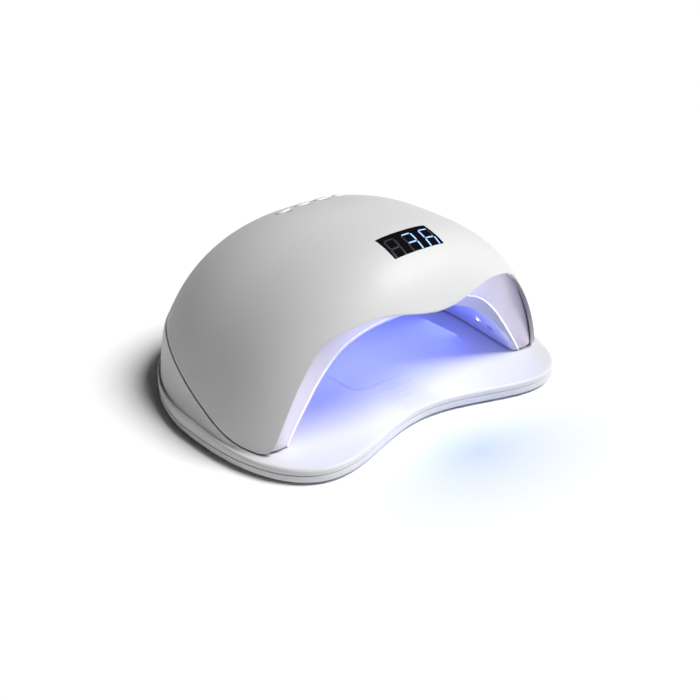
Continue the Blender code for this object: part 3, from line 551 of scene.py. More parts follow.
def make_dome(material):
    """The shell in rings, down its outside from the crown, round its lip and up its inside."""
    edge_angle, edge_height, crown_angle = dome_columns()
    edge_level = np.arcsin((edge_height - DOME_BASE) / DOME_HEIGHT)

    def ring(down, inset):
        """A ring some share of the way down to the edge, set in level with the ground near the edge."""
        level = math.pi / 2 + (edge_level - math.pi / 2) * down
        angle = crown_angle + (edge_angle - crown_angle) * down**2
        height = DOME_BASE + DOME_HEIGHT * np.sin(level)
        normal = dome_normal(angle, height)
        if inset:
            near = np.clip((np.reshape(down, (-1, 1)) - LEVEL_WALL_FROM) / LEVEL_WALL_RUN, 0, 1)
            normal = level_inset(normal) * near + normal * (1 - near)
        return dome_surface(angle, height) - inset * normal

    corner = ring(1.0, 0.0)
    inner_corner = ring(1.0, DOME_WALL)
    length = np.linalg.norm(corner - ring(0.9, 0.0), axis=1) / 0.1
    share = LIP_RADIUS / length
    outer = [pole(DOME_BASE + DOME_HEIGHT, DOME_Y)]
    inner = [pole(DOME_BASE + DOME_HEIGHT - DOME_WALL, DOME_Y)]
    for row in range(1, DOME_ROWS):
        down = row / DOME_ROWS
        outer.append(ring(down * (1 - share), 0.0))
        if row % 3 == 0:
            inner.append(ring(down * (1 - share), DOME_WALL))
    lip = rounded_edge(ring(1 - share, 0.0), corner, inner_corner, LIP_RADIUS)
    lip += rounded_edge(corner, inner_corner, ring(1 - share, DOME_WALL), INNER_LIP_RADIUS)
    dome = piece("dome", *ring_mesh(outer + lip + inner[::-1]), material, "lamp_head", ["dome_shell"],
                 "white_shell")
    cut(dome, [window_cut(), jack_cut(), *button_cuts()])


def rounded_edge(before, corner, after, radius, steps=6):
    """Rings that round off the corner between two faces of a wall, over less than half of the second face."""
    back, on = before - corner, after - corner
    start = corner + back * np.minimum(1.0, radius / np.linalg.norm(back, axis=1, keepdims=True))
    end = corner + on * np.minimum(0.48, radius / np.linalg.norm(on, axis=1, keepdims=True))
    return [(1 - t) ** 2 * start + 2 * (1 - t) * t * corner + t**2 * end
            for t in np.linspace(0, 1, steps + 1)]


def window_cut():
    depth = WINDOW_REAR_Y - WINDOW_FRONT_Y
    outline = rounded_rectangle(WINDOW_WIDTH + 2 * WINDOW_GAP, depth + 2 * WINDOW_GAP, WINDOW_CORNER)
    return placed(prism_mesh(outline, 90.0, 115.0), at(0, WINDOW_Y))


def button_ring(grow, height):
    """The outline of a button, grown all round, at one height."""
    return level_ring(oval(BUTTON_WIDTH / 2 + grow, BUTTON_DEPTH / 2 + grow, 64), height)


def button_places():
    return [(BUTTON_SPACING * (i - 1.5), BUTTON_Y) for i in range(len(BUTTON_LABELS))]


def button_cuts():
    cutter = swept_mesh([button_ring(BUTTON_GAP, -6.0), button_ring(BUTTON_GAP, 6.0)])
    return [placed(cutter, dome_frame(x, y)) for x, y in button_places()]


def jack_frame():
    point = dome_surface(math.pi / 2, JACK_HEIGHT)
    return dome_frame(0.0, float(point[1]))


def jack_cut():
    return placed(drum(JACK_HOLE_RADIUS, 8.0, -8.0, 48), jack_frame())


# ------------------------------------------------------------------------------------ controls and jack

def make_buttons(material):
    """Softly domed oval caps with a rounded shoulder, on a stem with a flange under the shell."""
    rings = [pole(BUTTON_PROUD)]
    for share in np.linspace(0.15, 1, 14):
        height = BUTTON_PROUD * (1 - share**4) ** 0.5 - 0.05
        rings.append(button_ring((share - 1) * BUTTON_DEPTH / 2, height))
    rings += [button_ring(grow, height) for grow, height in BUTTON_STEM]
    rings.append(pole(BUTTON_STEM[-1][1]))
    for label, (x, y) in zip(BUTTON_LABELS, button_places()):
        mesh = placed(ring_mesh(rings), dome_frame(x, y))
        piece(f"button_cap_{label}", *mesh, material, f"button_{label}s_cap", [f"button_{label}s"],
              "white_button")


def make_button_marks(material):
    """The printed number in front of each button, laid onto the dome."""
    for label, (x, y) in zip(BUTTON_LABELS, button_places()):
        text = bpy.data.curves.new("mark", "FONT")
        text.body = label + "s"
        text.size = MARK_SIZE
        text.align_x = "CENTER"
        text.align_y = "CENTER"
        text.resolution_u = 4
        source = bpy.data.objects.new("mark", text)
        bpy.context.scene.collection.objects.link(source)
        mesh = bpy.data.meshes.new_from_object(source.evaluated_get(bpy.context.evaluated_depsgraph_get()))
        bpy.data.objects.remove(source)
        points = np.array([(x + v.co.x, y - MARK_DISTANCE + v.co.y, 0.0) for v in mesh.vertices])
        points[:, 2] = dome_height(points[:, 0], points[:, 1]) + MARK_PROUD
        faces = [list(face.vertices) for face in mesh.polygons]
        bpy.data.meshes.remove(mesh)
        piece(f"button_mark_{label}", points, faces, material, "lamp_head")


def make_window(material):
    """A glossy black pane whose top follows the dome."""
    sections = []
    ys = np.linspace(WINDOW_FRONT_Y, WINDOW_REAR_Y, 25)
    for x in np.linspace(-WINDOW_WIDTH / 2, WINDOW_WIDTH / 2, 41):
        tops = dome_height(np.full(len(ys), x), ys) - PANE_DEPTH
        upper = np.column_stack([np.full(len(ys), x), ys, tops])
        lower = upper[::-1] - (0, 0, WINDOW_THICKNESS)
        sections.append(np.vstack([upper, lower]))
    piece("window_pane", *swept_mesh(sections), material, "lamp_head", ["display_window"], "window_black")


def segment_bars():
    """Each segment of a digit as the two ends of its middle line, with the digit's middle at the origin."""
    side, end, gap = DIGIT_WIDTH / 2, DIGIT_HEIGHT / 2, DIGIT_STROKE * 0.35
    flat = {name: ((gap - side, y), (side - gap, y)) for name, y in (("a", end), ("g", 0.0), ("d", -end))}
    upright = {"f": ((-side, gap), (-side, end - gap)), "b": ((side, gap), (side, end - gap)),
               "e": ((-side, -end + gap), (-side, -gap)), "c": ((side, -end + gap), (side, -gap))}
    return {**flat, **upright}


def segment_mesh(start, end, column, half_width, proud):
    """A thin bar with pointed ends, laid onto the pane and cut off at the pane's front edge."""
    start, end = np.array(start), np.array(end)
    length = np.linalg.norm(end - start)
    along = (end - start) / length
    across = np.array([-along[1], along[0]])
    shift = DIGIT_STROKE / 2 - half_width
    sunk = -0.2
    steps = np.concatenate([[shift, shift + half_width],
                            np.linspace(DIGIT_STROKE, length - DIGIT_STROKE, 5),
                            [length - shift - half_width, length - shift]])
    sections = []
    for index, step in enumerate(steps):
        width = SEGMENT_TIP if index in (0, len(steps) - 1) else half_width
        left, right = [start + along * step + across * width * side for side in (-1, 1)]
        sections.append(np.array([pane_point(*edge, column, height) for edge, height in
                                  ((left, proud), (right, proud), (right, sunk), (left, sunk))]))
    return swept_mesh(sections)


def pane_point(across, up, column, proud):
    """A point of a digit in one of the three columns, slanted and laid onto the pane."""
    x = across + math.tan(DIGIT_SLANT) * up + (column - 1) * DIGIT_PITCH
    y = max(DIGITS_Y + DIGIT_LEAN * up, WINDOW_FRONT_Y + 0.15)
    return x, y, float(dome_height(x, y)) - PANE_DEPTH + proud


def make_digits(lit_material, dim_material, dark_material):
    """Lit segments as bright bars, and unlit ones as faint outlines: pale bars with dark middles."""
    lit, dim, dark = [], [], []
    for column, digit in enumerate(DIGITS_SHOWN):
        for name, (start, end) in segment_bars().items():
            if name in SEGMENTS_OF_DIGIT.get(digit, ""):
                lit.append(segment_mesh(start, end, column, DIGIT_STROKE / 2, SEGMENT_PROUD))
            else:
                dim.append(segment_mesh(start, end, column, DIGIT_STROKE / 2, SEGMENT_RIM_PROUD))
                dark.append(segment_mesh(start, end, column, DIGIT_STROKE / 2 - SEGMENT_RIM, SEGMENT_PROUD))
    piece("digits_lit", *joined(lit), lit_material, "lamp_head")
    piece("digits_unlit", *joined(dim), dim_material, "lamp_head")
    piece("digits_unlit_middles", *joined(dark), dark_material, "lamp_head")


def make_display_module(material):
    """The digit module behind the pane, with a shallow step round its face."""
    body = prism_mesh(rounded_rectangle(31.0, 13.5, 0.8), -9.8, -4.6)
    face = prism_mesh(rounded_rectangle(30.0, 12.5, 0.6), -4.7, -4.2)
    piece("digit_module", *placed(joined([body, face]), dome_frame(0, WINDOW_Y)), material, "lamp_head",
          ["display_module"], "black_plastic")


def make_jack(material, pin_material):
    """A round socket with a rolled collar, open at its mouth, and the contact pin on its axis."""
    profile = [(3.2, 1.2), (3.5, 1.4), (6.6, 1.4), (7.0, 1.25), (7.2, 0.95), (7.2, 0.4), (5.5, 0.4),
               (5.5, -13.0), (1.4, -13.0), (1.4, -9.5), (3.2, -9.5)]
    piece("jack_socket", *placed(turned_mesh(profile, 64, loop=True), jack_frame()), material, "lamp_head",
          ["dc_jack"], "black_plastic")
    pin = [(0, -0.6), (0.5, -0.65), (0.85, -0.85), (1.05, -1.3), (1.05, -14.5), (0, -14.5)]
    piece("jack_pin", *placed(turned_mesh(pin, 24), jack_frame()), pin_material, "lamp_head", ["dc_pin"],
          "steel")


# -------------------------------------------------------------------------------------- reflector liner

VAULT_ARCH = spline(VAULT_EDGE, 400)


def arch_direction(share):
    """Which way is out of the arch, seen from the front: square to its edge, but level at its feet."""
    steps = np.linspace(0, 1, len(VAULT_ARCH))
    along = np.gradient(VAULT_ARCH, axis=0)
    lift = np.abs(along[:, 0]) * smooth_step((1 - steps) / 0.25)
    out_x = -along[:, 1] / np.hypot(along[:, 1], lift)
    out_z = lift / np.hypot(along[:, 1], lift)
    return np.sign(share) * np.interp(np.abs(share), steps, out_x), np.interp(np.abs(share), steps, out_z)


def vault_point(y, share):
    """Points of the reflector's inner surface. share runs from -1 at the left foot to 1 at the right."""
    steps = np.linspace(0, 1, len(VAULT_ARCH))
    x = np.sign(share) * np.interp(np.abs(share), steps, VAULT_ARCH[:, 0])
    z = np.interp(np.abs(share), steps, VAULT_ARCH[:, 1])
    forward = np.clip((y - VAULT_FRONT_Y) / (VAULT_WIDE_Y - VAULT_FRONT_Y), 0, 1)
    back = np.clip((y - VAULT_WIDE_Y) / (VAULT_REAR_Y - VAULT_WIDE_Y), 0, 1)
    shrink = (1 - back**VAULT_POWER) ** (1 / VAULT_POWER)
    inset = FLARE_INSET * (1 - smooth_step(forward))
    out_x, out_z = arch_direction(share)
    foot = VAULT_EDGE[-1][1]
    x = (x * (1 + VAULT_WIDENING * forward) - inset * out_x) * shrink
    z = foot + (z - foot - inset * out_z) * shrink
    return np.stack([x, y + 0 * x, z], -1)


def vault_normal(y, share):
    low, high = np.maximum(-1.0, share - 0.02), np.minimum(1.0, share + 0.02)
    across = vault_point(y, high) - vault_point(y, low)
    along = vault_point(np.minimum(y + 0.05, VAULT_REAR_Y), share) - vault_point(y - 0.05, share)
    return unit(np.cross(across, along))


def vault_frame(y, share):
    return frame_at(vault_point(y, share), vault_normal(y, share))


def flare_direction(shares):
    """Which way the reflector's front edge flares."""
    out_x, out_z = arch_direction(shares)
    return np.stack([out_x, 0 * out_x, out_z], -1)


def flare_edge(shares):
    """The front edge of the flare, where the bezel meets it."""
    return vault_point(VAULT_FRONT_Y, shares) + FLARE_RADIUS * flare_direction(shares)


def bead_places(y):
    return [vault_frame(y, share) for share in np.linspace(-LED_REACH, LED_REACH, LEDS_IN_ROW)]


def make_reflector(material):
    """The vaulted liner with its front edge flared outwards, and a cone-shaped hole for each light source."""
    shares = np.linspace(1, -1, VAULT_COLUMNS + 1)
    sections = []
    for turn in np.linspace(math.pi / 2, 0, 9):
        y = VAULT_FRONT_Y + FLARE_RADIUS * (1 - math.sin(turn))
        direction = flare_direction(shares)
        inside = vault_point(y, shares) + FLARE_RADIUS * (1 - math.cos(turn)) * direction
        thick = direction * math.cos(turn) + REARWARD * math.sin(turn)
        outside = inside + VAULT_WALL * thick
        sections.append(np.vstack([inside, outside[::-1]]))
    back = np.sin(np.linspace(0, 1, 36)[1:-1] * math.pi / 2)
    rows = [*np.linspace(VAULT_FRONT_Y + FLARE_RADIUS + 2.5, VAULT_WIDE_Y, 22),
            *(VAULT_WIDE_Y + (VAULT_REAR_Y - VAULT_WIDE_Y) * back)]
    for y in rows:
        inside = vault_point(y, shares)
        outside = inside + VAULT_WALL * vault_normal(y, shares)
        outside[:, 2] = np.maximum(outside[:, 2], VAULT_EDGE[-1][1])
        sections.append(np.vstack([inside, outside[::-1]]))
    liner = piece("reflector", *swept_mesh(sections), material, "lamp_head", ["reflector_liner"],
                  "white_liner")
    holes = []
    cone = turned_mesh([(0, 4.0), (2.5, 4.0), (2.6, 1.6), (3.9, -0.8), (0, -0.8)], 32)
    for y in LED_ROWS.values():
        holes += [placed(cone, place) for place in bead_places(y)]
    eye = drum(SENSOR_RADIUS + GAP, 4.0, -1.0, 32)
    holes += [placed(eye, vault_frame(SENSOR_Y, side * SENSOR_PLACE)) for side in (-1, 1)]
    cut(liner, holes)


def make_painted_highlight_rib(material):
    """A thin rib along the flare's front edge that glows as a painted highlight, where the light spills out."""
    shares = np.linspace(-1, 1, 2 * VAULT_COLUMNS + 1)
    path = flare_edge(shares) - (0, PAINTED_HIGHLIGHT_RIB_RADIUS * 0.6, 0)
    out = flare_direction(shares)
    angles = np.linspace(0, 2 * math.pi, 10, endpoint=False)
    sections = []
    for point, direction in zip(path, out):
        sections.append(np.array([
            point + PAINTED_HIGHLIGHT_RIB_RADIUS * (math.cos(a) * direction + math.sin(a) * REARWARD) for a in angles]))
    piece("reflector_edge_painted_highlight", *swept_mesh(sections), material, "lamp_head")


def make_light_strips(strip_material, bead_material, core_material):
    """Arched white strips behind the liner, with a lens over a bright core at each hole."""
    near, far, half_width = VAULT_WALL + 0.7, VAULT_WALL + 1.5, 4.0
    lens = turned_mesh([(0, -0.5), (0.9, -0.4), (1.6, -0.05), (2.1, 0.5), (LED_RADIUS, 1.2),
                        (LED_RADIUS, near + 0.3), (0, near + 0.3)], 28)
    core = turned_mesh([(0, -0.62), (0.45, -0.6), (0.8, -0.52), (0.8, -0.3), (0, -0.3)], 20)
    for row, y in LED_ROWS.items():
        sections = []
        for share in np.linspace(-LED_REACH - 0.04, LED_REACH + 0.04, 61):
            sections.append(np.array([
                vault_point(y + side, share) + distance * vault_normal(y + side, share)
                for distance, side in ((near, -half_width), (near, half_width), (far, half_width),
                                       (far, -half_width))]))
        piece(f"light_strip_{row}", *swept_mesh(sections), strip_material, "lamp_head",
              [f"led_strip_{row}"], "led_strip_white")
        for name, mesh, material in (("beads", lens, bead_material), ("cores", core, core_material)):
            meshes = [placed(mesh, place) for place in bead_places(y)]
            piece(f"light_{name}_{row}", *joined(meshes), material, "lamp_head")


def make_sensors(material):
    """Dark domed eyes set back in their holes."""
    eye = turned_mesh([(0, 0.75), (0.9, 0.85), (1.7, 1.2), (2.2, 1.9), (SENSOR_RADIUS, 2.6),
                       (SENSOR_RADIUS, 8.0), (0, 8.0)], 32)
    for name, side in (("ir_receiver", 1), ("ir_emitter", -1)):
        place = vault_frame(SENSOR_Y, side * SENSOR_PLACE)
        piece(f"{name}_eye", *placed(eye, place), material, "lamp_head", [name], "black_plastic")


# ------------------------------------------------------------------------------------------ front bezel

def make_bezel(material):
    """A smooth, slightly crowned sheet from just inside the dome's lip to the reflector's flared edge."""
    x, z = spline(OPENING_EDGE[:-1], BEZEL_STEPS + 1).T
    angle = edge_direction(x, z)
    normal = dome_normal(angle, z)
    lip = dome_surface(angle, z) - (BEZEL_INSET - 0.1) * level_inset(normal) + BEZEL_SET_BACK * REARWARD
    inner = flare_edge(np.linspace(0, 1, BEZEL_STEPS + 1))
    across = inner - lip
    along = np.gradient(lip * 0.5 + inner * 0.5, axis=0)
    along[0] = (1.0, 0.0, 0.0)
    behind = np.cross(along, across)
    behind *= np.where(behind[:, 1:2] + behind[:, 2:3] < 0, -1, 1)
    behind *= BEZEL_WALL / np.linalg.norm(behind, axis=1, keepdims=True)
    bulge = BEZEL_BULGE * np.minimum(1.0, np.abs(x) / BEZEL_BULGE_RUN)
    power = math.log(0.5) / math.log(BEZEL_BULGE_PLACE)
    face = []
    for share in np.linspace(0, 1, 13):
        swell = math.sin(math.pi * share**power) ** 1.2
        face.append(lip + across * share - REARWARD * (bulge * swell)[:, None])
    back = [row + behind for row in face[::-1]]
    right = np.stack(face + back, axis=1)
    sections = [section * (-1, 1, 1) for section in right[:0:-1]] + list(right)
    piece("bezel", *swept_mesh(sections), material, "lamp_head", ["front_bezel"], "white_bezel")


# -------------------------------------------------------------------------------------------- tray, base

def outline_point(angle):
    """Points of the base outline, where angle runs from -90 degrees at the front to 90 at the rear."""
    x = BASE_HALF_WIDTH * np.cos(angle)
    across = np.minimum(1.0, np.abs(x) / BASE_HALF_WIDTH)
    lobes = BASE_FRONT_REACH * (1 - across**BASE_FRONT_POWER) ** (1 / BASE_FRONT_POWER)
    bay = BAY_DEPTH * (1 - across**2) ** BAY_POWER
    front = BASE_WIDEST_Y - lobes + bay
    rear = BASE_WIDEST_Y + BASE_REAR_REACH * np.sin(angle)
    return np.stack([x, np.where(np.sin(angle) >= 0, rear, front)], -1)


def outline_normal(angle):
    along = outline_point(angle + 0.01) - outline_point(angle - 0.01)
    return unit(np.stack([along[:, 1], -along[:, 0]], -1))


def base_ring(inset, height):
    """A ring inside the base outline."""
    ring = outline_point(BASE_ANGLES) - np.reshape(inset, (-1, 1)) * outline_normal(BASE_ANGLES)
    return np.column_stack([ring, height + 0 * ring[:, 0]])


def frame_radius(angle):
    """Outer radius of the head's lower frame."""
    return dome_radius(angle, seam_at(angle) + FRAME_SPIGOT) - DOME_WALL - SLIDING_GAP - 0.6


def rim_lift(rise):
    """How much higher the tray's rim stands beside and behind the head than in front of it."""
    return np.minimum(RIM_LIFT_RATE * rise, RIM_LIFT_MOST)


def tray_flank(angle, rim):
    """Rings of (radius, height) up the tray's flank, from the shelf to the seam, along a cubic curve.

    The flank is hollow beside the head and full at the rear.
    """
    seam = seam_at(angle)
    rise = np.maximum(seam - SEAM_LOW, 0.0)
    top_radius = dome_radius(angle, seam) + 0.3
    top_radius = np.where(rise < 0.05, np.minimum(top_radius, rim - SHELF_IN_FRONT), top_radius)
    foot_radius = np.minimum(rim - SHELF_LEAST, top_radius + 1.0 + FLANK_SPREAD * rise)
    foot = TRAY_TOP + rim_lift(rise)
    run, climb = top_radius - foot_radius, TRAY_TOP + rise - foot
    full = smooth_step((np.sin(angle) - 0.25) / 0.6)
    curve = [(foot_radius, foot),
             (foot_radius + 0.35 * run * (1 - full), foot + climb * (0.12 * (1 - full) + 0.5 * full)),
             (foot_radius + run * (0.8 * (1 - full) + 0.42 * full),
              foot + climb * (0.6 * (1 - full) + 0.95 * full)),
             (top_radius, foot + climb)]
    rings = []
    for t in np.linspace(0, 1, 17):
        weights = ((1 - t) ** 3, 3 * (1 - t) ** 2 * t, 3 * (1 - t) * t**2, t**3)
        rings.append(tuple(sum(weight * point[k] for weight, point in zip(weights, curve)) for k in (0, 1)))
    return rings


def make_tray(material):
    """The tray: floor, upright wall behind the head's edge, flank, shelf and rounded rim, and underneath."""
    rim = outline_point(BASE_ANGLES)
    angle = np.arctan2(rim[:, 1] - DOME_Y, rim[:, 0])
    reach = np.hypot(rim[:, 0], rim[:, 1] - DOME_Y)
    flank = tray_flank(angle, reach)
    top_radius, top = flank[-1]
    wall = np.minimum(frame_radius(angle) + 2 * SLIDING_GAP, top_radius - 2.0)
    room = np.minimum(1.0, (reach - flank[0][0]) / 6.0)
    lift = rim_lift(np.maximum(seam_at(angle) - SEAM_LOW, 0.0))
    rings = [pole(TRAY_TOP, DOME_Y)]
    rings += [polar(angle, share * wall, TRAY_TOP) for share in (0.25, 0.5, 0.75)]
    rings.append(polar(angle, wall - 0.2, TRAY_TOP))
    rings.append(polar(angle, wall, np.maximum(top - 0.4, TRAY_TOP)))
    rings.append(polar(angle, wall + 0.3, top))
    rings += [polar(angle, radius, height) for radius, height in flank[::-1]]
    shelf = np.minimum(3.0 * RIM_RADIUS * room, reach - flank[0][0] - 0.1)
    rings.append(polar(angle, reach - shelf, flank[0][1]))
    for turn in np.linspace(0, math.pi / 2, 9):
        inset = RIM_RADIUS * (1 - math.sin(turn)) * np.maximum(room, 0.5)
        rings.append(base_ring(inset, TRAY_TOP + lift - RIM_RADIUS * (1 - math.cos(turn))))
    rings += [base_ring(0.0, TRAY_BOTTOM + EDGE_BREAK), base_ring(EDGE_BREAK, TRAY_BOTTOM),
              base_ring(BASE_WALL, TRAY_BOTTOM), base_ring(BASE_WALL, TRAY_TOP - TRAY_WALL)]
    rings += hollow_under_flank(angle, flank, wall)
    rings.append(pole(TRAY_TOP - TRAY_WALL, DOME_Y))
    pad = raised_mesh(*PAD, PAD_Y)
    ribs = [raised_mesh(*RIB, y) for y in RIB_YS]
    boss_top, boss_foot, bore_top = TRAY_TOP - TRAY_WALL + 0.8, PLATE_TOP - 0.5, PLATE_TOP + 1.0
    boss = turned_mesh([(0, boss_top), (SCREW_BOSS_RADIUS, boss_top), (SCREW_BOSS_RADIUS, boss_foot),
                        (SCREW_SHANK_RADIUS + GAP, boss_foot), (SCREW_SHANK_RADIUS + GAP, bore_top),
                        (0, bore_top)], 32)
    bosses = [placed(boss, at(x, y)) for _, x, y in both_sides(BASE_SCREW_PLACES)]
    piece("tray", *joined([ring_mesh(rings), pad, *ribs, *bosses]), material, "base", ["tray_cover"],
          "white_tray")


def hollow_under_flank(angle, flank, wall):
    """The underside of the raised flank: the flank's shape moved in by the wall's thickness."""
    under = TRAY_TOP - TRAY_WALL
    inner = wall + TRAY_WALL
    outer = np.maximum(flank[0][0] - TRAY_WALL - 1.0, inner + 1.5)
    radii = np.array([radius for radius, _ in flank[::-1]])
    heights = np.array([height for _, height in flank[::-1]])
    rings = []
    for share in np.linspace(0, 1, 7):
        radius = outer + (inner - outer) * share
        height = [np.interp(radius[i] + TRAY_WALL, radii[:, i], heights[:, i]) for i in range(len(radius))]
        rings.append(polar(angle, radius, np.maximum(under, np.array(height) - TRAY_WALL - 0.6)))
    rings.append(polar(angle, inner - 0.2, under))
    return rings


def make_bottom_plate(material):
    """The shallow lower shell, with its rounded lower edge, screw wells and foot recesses."""
    floor = PLATE_BOTTOM + PLATE_FLOOR
    rings = [pole(PLATE_BOTTOM, DOME_Y), base_ring(10.0, PLATE_BOTTOM), base_ring(2.6, PLATE_BOTTOM)]
    for turn in np.linspace(0, math.pi / 2, 7):
        rings.append(base_ring(PLATE_EDGE_RADIUS * (1 - math.sin(turn)),
                               PLATE_BOTTOM + PLATE_EDGE_RADIUS * (1 - math.cos(turn))))
    rings += [base_ring(0.0, PLATE_TOP - EDGE_BREAK), base_ring(EDGE_BREAK, PLATE_TOP),
              base_ring(BASE_WALL, PLATE_TOP), base_ring(BASE_WALL, floor), pole(floor, DOME_Y)]
    plate = piece("base_plate", *ring_mesh(rings), material, "base", ["bottom_plate"], "white_tray")
    head, shank = SCREW_HEAD_RADIUS + GAP, SCREW_SHANK_RADIUS + GAP
    step = PLATE_BOTTOM + 1.9
    well = turned_mesh([(0, PLATE_TOP + 1), (shank, PLATE_TOP + 1), (shank, step), (head, step),
                        (head, PLATE_BOTTOM - 1), (0, PLATE_BOTTOM - 1)], 40)
    recess = drum(FOOT_RADIUS + GAP, PLATE_BOTTOM + 1.0, PLATE_BOTTOM - 1, 64)
    wells = [placed(well, at(x, y)) for _, x, y in both_sides(BASE_SCREW_PLACES)]
    wells += [placed(recess, at(x, y)) for _, x, y in both_sides(FOOT_PLACES)]
    cut(plate, wells)


def make_feet(material):
    """Round rubber feet with a soft edge and a shallow dish underneath."""
    top = PLATE_BOTTOM + 0.7
    profile = [(0, top), (FOOT_RADIUS, top), (FOOT_RADIUS, 0.6), (FOOT_RADIUS - 0.15, 0.25),
               (FOOT_RADIUS - 0.5, 0.05), (FOOT_RADIUS - 0.9, 0), (4.2, 0), (3.8, 0.12), (0, 0.2)]
    for name, x, y in both_sides(FOOT_PLACES):
        piece(f"rubber_foot_{name}", *placed(turned_mesh(profile, 64), at(x, y)), material, "base",
              [f"foot_{name}"], "grey_rubber")


# --------------------------------------------------------------------------------------------- materials

def put(tree, node, **values):
    """Sets a node's inputs by name, each to a value or from another node's output."""
    for name, value in values.items():
        socket = node.inputs[name.replace("_", " ")]
        if isinstance(value, bpy.types.NodeSocket):
            tree.links.new(value, socket)
        else:
            socket.default_value = value
    return node


def object_coordinates(tree):
    return tree.nodes.new("ShaderNodeTexCoord").outputs["Object"]


def noise_of(tree, place, scale, detail=2.0, roughness=0.5, stretch=None):
    """A noise texture's value over the object's own coordinates."""
    if stretch:
        place = put(tree, tree.nodes.new("ShaderNodeMapping"), Vector=place, Scale=stretch).outputs["Vector"]
    texture = tree.nodes.new("ShaderNodeTexNoise")
    return put(tree, texture, Vector=place, Scale=scale, Detail=detail, Roughness=roughness).outputs["Fac"]


def ranged(tree, value, low, high, start=0.3, end=0.7):
    """A value spread over a range. Most noise lies between 0.3 and 0.7."""
    spread = tree.nodes.new("ShaderNodeMapRange")
    put(tree, spread, Value=value, From_Min=start, From_Max=end, To_Min=low, To_Max=high)
    return spread.outputs["Result"]


def mixed(tree, factor, first, second):
    """A blend of two plain colours by a value."""
    mix = tree.nodes.new("ShaderNodeMix")
    mix.data_type = "RGBA"
    return put(tree, mix, A=(*first, 1.0), B=(*second, 1.0), Factor=factor).outputs["Result"]


def moulded(name, colour, other, roughness, grain=2600.0, bump=0.04, metallic=0.0, stretch=None, **sockets):
    """A material with a tone that drifts, a fine grain, and a roughness that varies with wear.

    colour and other are the two tones, and roughness is its (low, high). grain is the scale of the fine bump.
    """
    material = bpy.data.materials.new(name)
    material.use_nodes = True
    tree = material.node_tree
    place = object_coordinates(tree)
    drift = noise_of(tree, place, 22.0, 4.0, 0.6)
    wear = noise_of(tree, place, 90.0, 6.0, 0.65, stretch)
    fine = noise_of(tree, place, grain, 3.0, 0.55, stretch)
    relief = put(tree, tree.nodes.new("ShaderNodeBump"), Height=fine, Strength=bump, Distance=0.0002)
    tone = mixed(tree, ranged(tree, drift, 0, 1), colour, other)
    put(tree, tree.nodes["Principled BSDF"], Base_Color=tone, Roughness=ranged(tree, wear, *roughness),
        Normal=relief.outputs["Normal"], Metallic=metallic, **sockets)
    return material


def glowing(name, colour, light, strength):
    """An emitting material, with a faint unevenness over it."""
    material = moulded(name, colour, colour, (0.2, 0.3))
    tree = material.node_tree
    uneven = ranged(tree, noise_of(tree, object_coordinates(tree), 700.0), 0, 1)
    paler = tuple(0.85 * value + 0.15 for value in light)
    put(tree, tree.nodes["Principled BSDF"], Emission_Color=mixed(tree, uneven, light, paler),
        Emission_Strength=strength)
    return material


